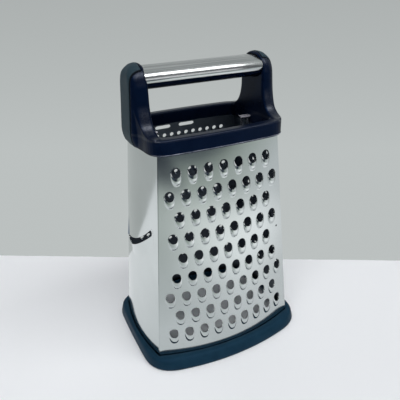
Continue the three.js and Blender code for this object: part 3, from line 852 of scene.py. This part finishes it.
def post_loop(z, inset=0.0, flare=0.0, steps=8):
    """The left post's plan at a height; an inset gives the seat under its end cover."""
    top = POST_TOP - inset
    foot = min(max((POST_TOP - z) / POST_HEIGHT, 0), 1)
    crown, brow, arch = max(0, POST_CROWN - inset), max(0, POST_BROW - inset), POST_ARCH - inset
    rise = math.sin(ARCH_TURN) * min(max((z - top + arch) / arch, 0), 1)
    lean = 0 if inset else POST_LEAN * foot - tuck(z)
    outer = POST_OUTER - inset + lean - drawn_in(crown, z - top + crown)
    inner = POST_INNER + drawn_in(brow, z - top + brow)
    half = (POST_HALF + POST_SPREAD * foot - inset) * math.sqrt(1 - rise * rise) + flare
    small = min(2.0, (outer - inner) / 3, half / 3)
    large = min(POST_ROUND, (outer - inner) / 2 + small, half - small)
    corners = (
        (large - outer, large - half, large, math.pi),
        (-inner - small, small - half, small, 1.5 * math.pi),
        (-inner - small, half - small, small, 0),
        (large - outer, half - large, large, 0.5 * math.pi),
    )
    loop = []
    for x, y, radius, start in corners:
        for i in range(steps + 1):
            turn = start + 0.5 * math.pi * i / steps
            loop.append((x + radius * math.cos(turn), y + radius * math.sin(turn), z))
    return loop


def post_column(name, bottom, inset=0.0, steps=18):
    spring = POST_TOP - POST_ARCH
    heights = [blend(bottom, RIM, i / 8) for i in range(8)] + [blend(RIM, spring, i / 6) for i in range(6)]
    arch = (POST_ARCH - inset) / math.sin(ARCH_TURN)
    heights += [spring + arch * math.sin(ARCH_TURN * i / steps) for i in range(steps + 1)]
    return extruded(name, [post_loop(z, inset) for z in heights], caps=True)


def cut(piece, tool, operation):
    """A Boolean with a tool that is thrown away."""
    apply(piece, "BOOLEAN", object=tool, operation=operation, solver="MANIFOLD")
    bpy.data.objects.remove(tool)


def post_flare():
    """The concave foot, kept inside the collar's outline and sunk into the collar."""
    knee = RIM + 0.2
    loops = [post_loop(RIM - 5, flare=FLARE_REACH)]
    for i in range(FLARE_STEPS + 1):
        t = i / FLARE_STEPS
        reach = (FLARE_REACH + CLEAR) * (1 - t) ** 2 - CLEAR
        loops.append(post_loop(knee + FLARE_HEIGHT * t * t, flare=reach))
    flare = extruded("flare", loops, caps=True)
    levels = [RIM - 9, RIM - 6, RIM - 3, RIM - 1, RIM, POST_TOP]
    outline = extruded("outline", [collar_loop(z, COLLAR_OUT) for z in levels], caps=True)
    cut(flare, outline, "INTERSECT")
    return flare


def cover_blank(name, fit, seam):
    """The strip of a post's outer face and top that its cover fills, with room round it for a pocket."""
    past, end = -POST_OUTER - 6, -POST_OUTER + POST_CROWN + 0.5 + fit
    low, high = COLLAR_BASE - 0.6, POST_TOP + 4
    half = COVER_HALF + seam
    clear_selection()
    bpy.ops.mesh.primitive_cube_add(size=1)
    blank = bpy.context.object
    blank.name = name
    size = Vector((end - past, 2 * half, high - low)) * MM
    middle = Vector(((end + past) / 2, 0, (high + low) / 2)) * MM
    blank.data.transform(Matrix.Translation(middle) @ Matrix.Diagonal((*size, 1)))
    cut(blank, post_column("seat", low - 1, COVER_THICK + fit), "DIFFERENCE")
    return blank


HALF_TURN = Matrix.Rotation(math.pi, 4, "Z")


def mirrored_end(name, piece):
    """The other end of the handle: a copy turned half round."""
    copy = piece.copy()
    copy.data = piece.data.copy()
    copy.data.transform(HALF_TURN)
    bpy.context.collection.objects.link(copy)
    copy.name = copy.data.name = name
    return copy


def moulded(piece, voxel, passes, keep):
    """Welds and rounds a piece by a voxel remesh and smoothing, and keeps a share of its faces."""
    apply(piece, "REMESH", mode="VOXEL", voxel_size=voxel * MM)
    apply(piece, "SMOOTH", factor=0.5, iterations=passes)
    apply(piece, "DECIMATE", ratio=keep)
    smooth(piece, 60)


left_post = post_column("left_column", COLLAR_BASE + 1.4)
socket_oval = bar_arc(-CLEAR, 0, 2 * math.pi, 96)[:-1]
cut(left_post, bar("socket", socket_oval, (-BAR_END - CLEAR, -POST_INNER + 3)), "DIFFERENCE")
left_flare = post_flare()
for piece in (left_post, left_flare, collar):
    cut(piece, cover_blank("pocket", POCKET_FIT, COVER_SEAM), "DIFFERENCE")
far_pocket = cover_blank("pocket", POCKET_FIT, COVER_SEAM)
far_pocket.data.transform(HALF_TURN)
cut(collar, far_pocket, "DIFFERENCE")
right_post = mirrored_end("right_column", left_post)
right_flare = mirrored_end("right_flare", left_flare)
handle_frame = joined("handle_frame", [collar, left_post, left_flare, right_post, right_flare])
moulded(handle_frame, 0.34, 10, 0.33)
report("handle frame", handle_frame)

# %% [markdown]
# ## End covers
# A soft strip is let into the outside of each post and wraps over its top, with a seam round it whose walls
# are painted in shade. It is the post's own column, cut to the strip, so that it lies flush. A fine remesh
# and a little smoothing round its edges as a soft moulding's are.

# %% End covers
left_cover = post_column("left_end_cover", COLLAR_BASE)
cut(left_cover, cover_blank("strip", 0.0, 0.0), "INTERSECT")
moulded(left_cover, 0.35, 8, 0.4)
right_cover = mirrored_end("right_end_cover", left_cover)
report("covers", left_cover, right_cover)

# %% [markdown]
# ## Lower edge of the collar
# The mould leaves a narrow bead just above the collar's lower edge. Its one thin light line is a painted
# highlight, which gives way to painted shade round the collar's ends.
# It is too fine for the remesh, so it is a ring of its own, extruded round a small profile.

# %% Lower edge of the collar
EDGE_PROFILE = [(1.0, -0.5), (0.9, 0.0), (1.05, 0.16), (1.35, 0.16), (1.5, 0.0), (1.4, -0.5)]
edge_loops = [collar_loop(COLLAR_BASE + up, COLLAR_OUT + out) for up, out in EDGE_PROFILE]
collar_edge = extruded("collar_edge", edge_loops, wrap=True)
smooth(collar_edge, 80)
report("edge", collar_edge)

# %% [markdown]
# ## Handle bar
# A steel sleeve wraps the upper part of an oval core. Both are loops in a plane across the bar, extruded
# along it, with many more points than the CAD solids have, because the sleeve's reflections show every
# facet.

# %% Handle bar
BAR_STATIONS = (-BAR_END, -BAR_END / 3, BAR_END / 3, BAR_END)
sleeve_profile = bar_arc(0, -WRAP, math.pi + WRAP, 96) + bar_arc(SLEEVE, math.pi + WRAP, -WRAP, 96)
handle_sleeve = bar("sleeve", sleeve_profile, BAR_STATIONS)
bevelled(handle_sleeve, 0.15, 50)
step = CLEAR / BAR_HALF_HEIGHT
core_profile = bar_arc(SLEEVE + CLEAR, -WRAP, math.pi + WRAP, 64)
core_profile += bar_arc(0, math.pi + WRAP + step, 2 * math.pi - WRAP - step, 48)
handle_core = bar("core", core_profile, BAR_STATIONS)
smooth(handle_core, 40)
report("sleeve", handle_sleeve)
report("core", handle_core)

# %% [markdown]
# ## Clips
# Inside the collar, a bent steel clip at each end holds the body. Towards the front it shows a narrow lug
# with two legs and a folded top, whose brightness is a painted highlight in its finish. Each part of it is
# one flat outline, extruded by the sheet's thickness, and a Boolean union makes them one strip of metal. The
# second clip is a copy turned half round.

# %% Clips
CLIP_FACE = 45.0
CLIP_BOTTOM = 170.2
CLIP_TOP = 182.7
CLIP_SHEET = 0.8
LUG = 8.5
LEG = 1.9
LUG_PLACE = -1.1
LUG_FOLD = 3.4


def flat_outline(name, points, low, high, lay):
    """A closed outline extruded between two levels; lay says which way the levels run."""
    return extruded(name, [[lay(a, b, level) for a, b in points] for level in (low, high)], caps=True)


def rectangle(a0, a1, b0, b1):
    return [(a0, b0), (a1, b0), (a1, b1), (a0, b1)]


def across(a, b, level):
    return a, level, b


def upward(a, b, level):
    return a, b, level


face, tip = -CLIP_FACE, LUG - CLIP_FACE
lug_outline = [
    (face, CLIP_BOTTOM + 2),
    (face + LEG, CLIP_BOTTOM + 2),
    (face + LEG, CLIP_TOP - 2.4),
    (tip - LEG, CLIP_TOP - 2.4),
    (tip - LEG, CLIP_BOTTOM + 1),
    (tip, CLIP_BOTTOM + 1),
    (tip, CLIP_TOP),
    (face, CLIP_TOP),
]
left_clip = flat_outline("left_inner_clip", lug_outline, LUG_PLACE, LUG_PLACE + CLIP_SHEET, across)
fold_outline = rectangle(face, tip, LUG_PLACE - LUG_FOLD, LUG_PLACE + CLIP_SHEET - 0.1)
cut(left_clip, flat_outline("fold", fold_outline, CLIP_TOP - CLIP_SHEET, CLIP_TOP - 0.05, upward), "UNION")
plate_outline = rectangle(face + 0.05, face + CLIP_SHEET, CLIP_BOTTOM, CLIP_TOP - 0.1)
cut(left_clip, flat_outline("plate", plate_outline, LUG_PLACE - LUG_FOLD, LUG_PLACE + 0.5, across), "UNION")
bevelled(left_clip, 0.2, 40)
right_clip = mirrored_end("right_inner_clip", left_clip)
report("clips", left_clip, right_clip)

# %% [markdown]
# ## Finishes
# Each finish has its own material. What they share is built once as a node group: a fine grain that gives
# a height and a mask, and soft handling marks that vary the gloss.

# %% Shared node groups


def feed(tree, node, inputs):
    """Sets a node's inputs, each to a value or to a link from another node's socket."""
    for key, value in inputs.items():
        if isinstance(value, bpy.types.NodeSocket):
            tree.links.new(value, node.inputs[key])
        else:
            node.inputs[key].default_value = value


def add_node(tree, kind, inputs, **settings):
    node = tree.nodes.new("ShaderNode" + kind)
    for key, value in settings.items():
        setattr(node, key, value)
    feed(tree, node, inputs)
    return node


def noise(tree, place, scale, detail, roughness=0.5):
    inputs = {"Vector": place, "Scale": scale, "Detail": detail, "Roughness": roughness}
    return add_node(tree, "TexNoise", inputs).outputs["Fac"]


def vector_math(tree, operation, *inputs):
    node = add_node(tree, "VectorMath", dict(enumerate(inputs)), operation=operation)
    return node.outputs["Value" if operation in ("DOT_PRODUCT", "LENGTH") else "Vector"]


def new_group(name, inputs, outputs):
    group = bpy.data.node_groups.new(name, "ShaderNodeTree")
    for label, kind, value in inputs:
        socket = group.interface.new_socket(label, in_out="INPUT", socket_type=kind)
        if value is not None:
            socket.default_value = value
    for label in outputs:
        group.interface.new_socket(label, in_out="OUTPUT", socket_type="NodeSocketFloat")
    return group, group.nodes.new("NodeGroupInput").outputs, group.nodes.new("NodeGroupOutput")


def grain_group():
    """Fine moulded grain: a height for a bump and a slow mottle for colour and gloss."""
    group, entry, leave = new_group(
        "moulded_grain",
        [("Vector", "NodeSocketVector", None), ("Size", "NodeSocketFloat", 1500.0)],
        ["Height", "Mottle"],
    )
    fine = noise(group, entry["Vector"], entry["Size"], 3)
    slow = noise(group, entry["Vector"], 90, 4, 0.6)
    feed(group, leave, {"Height": fine, "Mottle": slow})
    return group


def marks_group():
    """Handling marks on metal: broad smudges and fine lines drawn out along one direction."""
    group, entry, leave = new_group(
        "handling_marks",
        [("Vector", "NodeSocketVector", None), ("Draw", "NodeSocketVector", (40.0, 40.0, 900.0))],
        ["Smudge", "Lines"],
    )
    smudge = noise(group, entry["Vector"], 22, 5, 0.55)
    lines = noise(group, vector_math(group, "MULTIPLY", entry["Vector"], entry["Draw"]), 1, 2)
    feed(group, leave, {"Smudge": smudge, "Lines": lines})
    return group


moulded_grain = grain_group()
handling_marks = marks_group()
print("groups:", moulded_grain.name, handling_marks.name)

# %% [markdown]
# A finish is one Principled shader whose colour and gloss vary with a group. Steel is metallic, with smudges
# from hands and fine lines along the way it was rolled or brushed. Plastic and rubber have a grain instead.
# Masks taken from a point's place paint shade into the covers' seams and round the collar bead's ends, paint
# a highlight on the clips' folded tops, and polish what hands and cloths rub.

# %% Materials


def new_material(name):
    material = bpy.data.materials.new(name)
    material.use_nodes = True
    tree = material.node_tree
    place = add_node(tree, "TexCoord", {}).outputs["Object"]
    return material, tree, tree.nodes["Principled BSDF"], place


def opaque(colour):
    """A triple with its alpha; another node's socket stays as it is."""
    return (*colour, 1) if isinstance(colour, tuple) else colour


def mixed_colour(tree, factor, low, high):
    inputs = {"Factor": factor, "A": opaque(low), "B": opaque(high)}
    return add_node(tree, "Mix", inputs, data_type="RGBA").outputs["Result"]


def ranged(tree, value, low, high, to_low, to_high):
    inputs = {"Value": value, "From Min": low, "From Max": high, "To Min": to_low, "To Max": to_high}
    return add_node(tree, "MapRange", inputs).outputs["Result"]


def maths(tree, operation, first, second):
    return add_node(tree, "Math", {0: first, 1: second}, operation=operation).outputs["Value"]


def colour_ramp(tree, value, stops):
    """Stops are (position, colour) or (position, grey level)."""
    node = add_node(tree, "ValToRGB", {"Fac": value})
    while len(node.color_ramp.elements) < len(stops):
        node.color_ramp.elements.new(0.5)
    for element, (position, colour) in zip(node.color_ramp.elements, stops):
        element.position = position
        element.color = opaque(colour if isinstance(colour, tuple) else (colour,) * 3)
    return node.outputs["Color"]


def bumped(tree, height, strength, distance):
    inputs = {"Height": height, "Strength": strength, "Distance": distance * MM}
    return add_node(tree, "Bump", inputs).outputs["Normal"]


COOL_TINT = (0.6, 0.8, 1.0)
NAVY_TINT = (0.1, 0.3, 0.8)
TEAL_TINT = (0.25, 0.55, 1.0)
FOLD_HIGHLIGHT = (0.62, 0.61, 0.68)
# The colour of painted shade, in the covers' seams and round the collar bead's ends.
PAINTED_SHADE = (0.0004, 0.0008, 0.002)


def steel(name, dull, bright, gloss, draw, line_strength, tone="Smudge", painted_highlight=None):
    """Sheet steel: colour varies with smudges or lines, gloss with smudges, and lines run along it; a mask
    may paint a highlight.
    """
    material, tree, shader, place = new_material(name)
    marks = add_node(tree, "Group", {}, node_tree=handling_marks)
    feed(tree, marks, {"Vector": place, "Draw": draw})
    colour = mixed_colour(tree, ranged(tree, marks.outputs[tone], 0.3, 0.7, 0, 1), dull, bright)
    metal = 1
    if painted_highlight:
        highlight_mask = painted_highlight(tree, place)
        colour = mixed_colour(tree, highlight_mask, colour, FOLD_HIGHLIGHT)
        metal = ranged(tree, highlight_mask, 0, 1, 1, 0.3)
    rough = ranged(tree, marks.outputs["Smudge"], 0.3, 0.7, *gloss)
    lines = bumped(tree, marks.outputs["Lines"], line_strength, 0.02)
    feed(tree, shader, {"Base Color": colour, "Metallic": metal, "Roughness": rough, "Normal": lines})
    return material


def distances(tree, place):
    """How far a point is from the body's middle planes, as X and Y, and its height, Z."""
    return add_node(tree, "SeparateXYZ", {"Vector": vector_math(tree, "ABSOLUTE", place)}).outputs


def seam_shade(tree, place):
    """A mask for painted shade in the end covers' seam: 1 on their side walls and inner end, 0 on their
    faces.
    """
    away = distances(tree, place)
    side = ranged(tree, away["Y"], (COVER_HALF - 0.4) * MM, (COVER_HALF - 0.15) * MM, 0, 1)
    inner_end = POST_OUTER - POST_CROWN - 0.5
    end = ranged(tree, away["X"], (inner_end + 0.15) * MM, (inner_end + 0.4) * MM, 1, 0)
    return maths(tree, "MAXIMUM", side, end)


def fold_highlight(tree, place):
    """A mask for the painted highlight on a clip's folded top."""
    return ranged(tree, distances(tree, place)["Z"], (CLIP_TOP - 1.4) * MM, (CLIP_TOP - 0.9) * MM, 0, 1)


def end_shade(tree, place):
    """A mask for painted shade: 1 round the collar's ends, where the bead's painted highlight gives way, and
    0 along its front and back.
    """
    return ranged(tree, distances(tree, place)["Y"], 30 * MM, 36 * MM, 1, 0)


def worn_smooth(tree, place):
    """Where hands and cloths polish the handle frame: its rim, the feet of its posts and their tops."""
    away = distances(tree, place)
    rise = ranged(tree, away["Z"], 0.180, 0.235, 0, 1)
    rim = colour_ramp(tree, rise, [(0.087, 0), (0.105, 0.4), (0.1255, 0.4), (0.138, 0)])
    post = colour_ramp(tree, rise, [(0.09, 0), (0.11, 1), (0.34, 1), (0.49, 0), (0.68, 0), (0.8, 0.6)])
    outside = ranged(tree, away["X"], (POST_INNER + 1.0) * MM, (POST_INNER + 2.5) * MM, 0, 1)
    inside = ranged(tree, away["X"], (POST_INNER + 7.0) * MM, (POST_INNER + 9.5) * MM, 1, 0)
    post = maths(tree, "MULTIPLY", post, maths(tree, "MULTIPLY", outside, inside))
    return maths(tree, "MAXIMUM", rim, post)


def moulding(name, dark, light, gloss, size, depth, shine=0.3, tint=COOL_TINT, shade=None, polish=None):
    """Moulded plastic or rubber: fine grain, a slow mottle in colour and gloss, painted shade where a mask
    asks for it, and worn places.
    """
    material, tree, shader, place = new_material(name)
    grain = add_node(tree, "Group", {}, node_tree=moulded_grain)
    feed(tree, grain, {"Vector": place, "Size": size})
    mottle = grain.outputs["Mottle"]
    colour = mixed_colour(tree, ranged(tree, mottle, 0.35, 0.65, 0, 1), dark, light)
    if shade:
        colour = mixed_colour(tree, shade(tree, place), colour, PAINTED_SHADE)
    if polish:
        sparkle = ranged(tree, grain.outputs["Height"], 0.4, 0.6, 0.45, 1)
        coat = maths(tree, "MULTIPLY", polish(tree, place), sparkle)
        feed(tree, shader, {"Coat Weight": coat, "Coat Roughness": 0.3})
    feed(tree, shader, {"Specular IOR Level": shine, "Specular Tint": opaque(tint), "Base Color": colour})
    rough = ranged(tree, mottle, 0.3, 0.7, *gloss)
    feed(tree, shader, {"Roughness": rough, "Normal": bumped(tree, grain.outputs["Height"], 0.5, depth)})
    return material


ROLLED, BRUSHED, PLAIN = (30, 30, 500), (10, 700, 700), (200, 200, 200)
panel_steel = steel("panel_steel", (0.56, 0.585, 0.58), (0.62, 0.645, 0.645), (0.11, 0.16), ROLLED, 0.06)
# The inside of the sheets: rougher, and darker as painted shade.
panel_inside_shade = steel("panel_inside_shade", (0.15, 0.18, 0.23), (0.22, 0.25, 0.30), (0.30, 0.40), ROLLED, 0.06)
sleeve_steel = steel(
    "sleeve_steel", (0.46, 0.475, 0.48), (0.70, 0.715, 0.72), (0.16, 0.26), BRUSHED, 0.25, "Lines"
)
# The clips' folded tops take a painted highlight.
clip_steel = steel(
    "clip_steel", (0.30, 0.30, 0.36), (0.50, 0.50, 0.58), (0.15, 0.25), PLAIN, 0.2, painted_highlight=fold_highlight
)
weld_steel = steel("weld_steel", (0.05, 0.055, 0.06), (0.12, 0.13, 0.14), (0.4, 0.5), PLAIN, 0.2)
dark_plastic = moulding(
    "dark_plastic",
    (0.0014, 0.0042, 0.0150),
    (0.0022, 0.0060, 0.0190),
    (0.26, 0.34),
    1500,
    0.08,
    0.12,
    NAVY_TINT,
    polish=worn_smooth,
)
# The bead's pale colour is a painted highlight, darkened to painted shade round the collar's ends.
painted_edge_highlight = moulding(
    "painted_edge_highlight", (0.05, 0.06, 0.09), (0.28, 0.29, 0.35), (0.25, 0.35), 1600, 0.02, shade=end_shade
)
soft_cover = moulding(
    "soft_cover", (0.013, 0.029, 0.039), (0.019, 0.037, 0.050), (0.52, 0.62), 2200, 0.05, shade=seam_shade
)
foot_rubber = moulding(
    "foot_rubber",
    (0.0062, 0.0245, 0.0440),
    (0.0088, 0.0320, 0.0560),
    (0.46, 0.56),
    1900,
    0.05,
    0.15,
    TEAL_TINT,
)
print("finishes:", [material.name for material in bpy.data.materials])

# %% [markdown]
# ## Dressing the frame
# Each piece rides on the one body and says which CAD nodes it stands for, and these are hidden. The sheets
# have two materials: the inside of a panel is rougher than its polished face, and its darker colour is
# painted shade. Only the screws, under the covers, stay as the CAD model has them.

# %% Which piece gets which finish
PIECES = [
    (front_panel, panel_steel, "panel_steel", ["front_panel"]),
    (back_panel, panel_steel, "panel_steel", ["back_panel"]),
    (left_panel, panel_steel, "panel_steel", ["left_panel"]),
    (right_panel, panel_steel, "panel_steel", ["right_panel"]),
    (weld_dots, weld_steel, "fastener_steel", []),
    (foot_ring, foot_rubber, "foot_rubber", ["foot_ring"]),
    (handle_frame, dark_plastic, "dark_plastic", ["collar", "left_post", "right_post"]),
    (collar_edge, painted_edge_highlight, "dark_plastic", []),
    (left_cover, soft_cover, "soft_cover", ["left_cover"]),
    (right_cover, soft_cover, "soft_cover", ["right_cover"]),
    (handle_sleeve, sleeve_steel, "sleeve_steel", ["handle_sleeve"]),
    (handle_core, dark_plastic, "dark_plastic", ["handle_core"]),
    (left_clip, clip_steel, "fastener_steel", ["left_clip"]),
    (right_clip, clip_steel, "fastener_steel", ["right_clip"]),
]


def dress(piece, material):
    piece.data.materials.clear()
    piece.data.materials.append(material)


for piece, material, slot_name, stands_for in PIECES:
    if slot_name == "panel_steel":
        piece.data.materials[0], piece.data.materials[1] = panel_steel, panel_inside_shade
    else:
        dress(piece, material)
    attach(piece, "root")
    if stands_for:
        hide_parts(*stands_for)
for name in ("left_screw", "right_screw"):
    dress(nodes[name], clip_steel)
print("dressed", len(PIECES), "pieces,", sum(triangles(row[0]) for row in PIECES), "triangles")

# %% [markdown]
# ## Floor, backdrop and light
# A pale floor and a grey backdrop close behind, as on a worktop against a wall. Polished steel is a mirror
# of what stands round it, so what it mirrors is designed too: to glossy rays the floor shades off towards
# the front, as a worktop does in front of a dim room. The backdrop shows only from its front and casts no
# shadow, so that the other sides of the object can be looked at as well.

# %% Floor and backdrop
FLOOR_HALF = 12.0
BACKDROP_AWAY = 0.0905
BACKDROP_TURN = math.radians(-30)


def mixed_shader(tree, factor, first, second):
    return add_node(tree, "MixShader", {"Fac": factor, 1: first, 2: second}).outputs["Shader"]


def glow(tree, colour, strength):
    return add_node(tree, "Emission", {"Color": opaque(colour), "Strength": strength}).outputs["Emission"]


def seen_by(tree, ray):
    return add_node(tree, "LightPath", {}).outputs[ray]


def patch(tree, place, middle, turn, scale):
    """Coordinates centred, turned and scaled to a patch of the floor."""
    inputs = {"Vector": place, "Location": middle, "Rotation": (0, 0, turn), "Scale": scale}
    return add_node(tree, "Mapping", inputs, vector_type="TEXTURE").outputs["Vector"]


FLOOR_TONES = [
    (0.0, (0.66, 0.69, 0.71)),
    (0.1, (0.70, 0.74, 0.76)),
    (0.25, (0.56, 0.61, 0.60)),
    (0.4, (0.46, 0.52, 0.49)),
    (0.54, (0.36, 0.42, 0.37)),
    (0.62, (0.03, 0.045, 0.07)),
]
FOOTPRINT = (0.060, 0.045, 1)


def on_floor(along, ahead):
    """A point on the floor from its place along the backdrop and ahead of it through the origin."""
    cos, sin = math.cos(BACKDROP_TURN), math.sin(BACKDROP_TURN)
    return along * cos + ahead * sin, along * sin - ahead * cos, 0


# On the floor: (along, ahead), size, and how bright.
POOLS = [((0.275, 0.18), (0.24, 0.34, 1), 0.52), ((-0.3, 0.0), (0.36, 0.3, 1), 0.3)]
POOL_FADE = [(0.0, 1), (0.35, 0.8), (0.7, 0.24), (1.0, 0)]
GLOOM_PLACE, GLOOM_SIZE = (0.28, 0.60), (0.18, 0.16, 1)
GLOOM = [(0.8, (0.04, 0.06, 0.12)), (1.0, (1, 1, 1))]


def from_middle(tree, place, spot, size):
    """How far a point is from the middle of a patch, 1 at its edge."""
    return vector_math(tree, "LENGTH", patch(tree, place, on_floor(*spot), BACKDROP_TURN, size))


def floor_material():
    """Matt and pale; in reflections it has pools of light in front, darkens further away, and is painted in
    shade under the body.
    """
    material, tree, shader, place = new_material("pale_floor")
    matt = {"Base Color": (0.90, 0.915, 0.94, 1), "Roughness": 0.8, "Specular IOR Level": 0.1}
    feed(tree, shader, matt)
    ahead = (math.sin(BACKDROP_TURN), -math.cos(BACKDROP_TURN), 0)
    lit = colour_ramp(tree, vector_math(tree, "DOT_PRODUCT", place, ahead), FLOOR_TONES)
    for spot, size, level in POOLS:
        fade = [(at, share * level) for at, share in POOL_FADE]
        lit = vector_math(tree, "ADD", lit, colour_ramp(tree, from_middle(tree, place, spot, size), fade))
    gloom = from_middle(tree, place, GLOOM_PLACE, GLOOM_SIZE)
    lit = vector_math(tree, "MULTIPLY", lit, colour_ramp(tree, gloom, GLOOM))
    under = distances(tree, patch(tree, place, (0, 0, 0), 0, FOOTPRINT))
    shade = ranged(tree, maths(tree, "MAXIMUM", under["X"], under["Y"]), 0.95, 1.05, 0.1, 1)
    glossy = seen_by(tree, "Is Glossy Ray")
    surface = mixed_shader(tree, glossy, shader.outputs["BSDF"], glow(tree, lit, shade))
    feed(tree, tree.nodes["Material Output"], {"Surface": surface})
    return material


def backdrop_material():
    """Shown to the camera and to reflections from its front, and clear to every other ray."""
    material, tree, shader, place = new_material("grey_backdrop")
    tree.nodes.remove(shader)
    shade = ranged(tree, distances(tree, place)["Z"], 0.13, 0.28, 1.0, 0.82)
    clear = add_node(tree, "BsdfTransparent", {}).outputs["BSDF"]
    seen = maths(tree, "MAXIMUM", seen_by(tree, "Is Camera Ray"), seen_by(tree, "Is Glossy Ray"))
    surface = mixed_shader(tree, seen, clear, glow(tree, (0.50, 0.53, 0.525), shade))
    behind = add_node(tree, "NewGeometry", {}).outputs["Backfacing"]
    feed(tree, tree.nodes["Material Output"], {"Surface": mixed_shader(tree, behind, surface, clear)})
    return material


def plane(name, material):
    clear_selection()
    bpy.ops.mesh.primitive_plane_add(size=2 * FLOOR_HALF)
    piece = bpy.context.object
    piece.name = name
    dress(piece, material)
    return piece


floor = plane("floor", floor_material())
backdrop = plane("backdrop", backdrop_material())
upright = Matrix.Rotation(BACKDROP_TURN, 4, "Z") @ Matrix.Translation((0, BACKDROP_AWAY, FLOOR_HALF))
backdrop.data.transform(upright @ Matrix.Rotation(math.pi / 2, 4, "X"))
print("stage:", floor.name, backdrop.name)

# %% [markdown]
# Long softboxes lie along the handle, at angles above the front and behind, and the sleeve mirrors each as a
# band. They light the plastic and the floor softly, and a dim sky fills the shadows.

# %% Light
SLEEVE_AXIS = Vector((0, 0, BAR_HEIGHT)) * MM
LIGHT_SHIFT = -0.15
LIGHT_AWAY = 1.3
LIGHT_LENGTH = 2.6
SOFTBOXES = [("key", 64, 0.45, 21), ("front", 7, 0.55, 3.5), ("rear", 130, 0.08, 5)]


def strip_light(name, rise, width, power):
    """A long softbox along the handle, at an angle above the front."""
    bpy.ops.object.light_add(type="AREA")
    lamp = bpy.context.object
    lamp.name = name
    lamp.data.shape = "RECTANGLE"
    lamp.data.size, lamp.data.size_y = LIGHT_LENGTH, width
    lamp.data.energy = power
    turn = math.radians(rise)
    lamp.location = SLEEVE_AXIS + LIGHT_AWAY * Vector((LIGHT_SHIFT, -math.cos(turn), math.sin(turn)))
    lamp.rotation_euler = (math.pi / 2 - turn, 0, 0)
    lamp.visible_camera = False
    return lamp


lamps = [strip_light(*softbox) for softbox in SOFTBOXES]
world = bpy.data.worlds.new("studio")
bpy.context.scene.world = world
world.use_nodes = True
sky = world.node_tree.nodes["Background"]
feed(world.node_tree, sky, {"Color": (0.85, 0.9, 0.95, 1), "Strength": 0.14})
bpy.context.scene.view_settings.view_transform = "Standard"
print("lights:", [lamp.name for lamp in lamps])
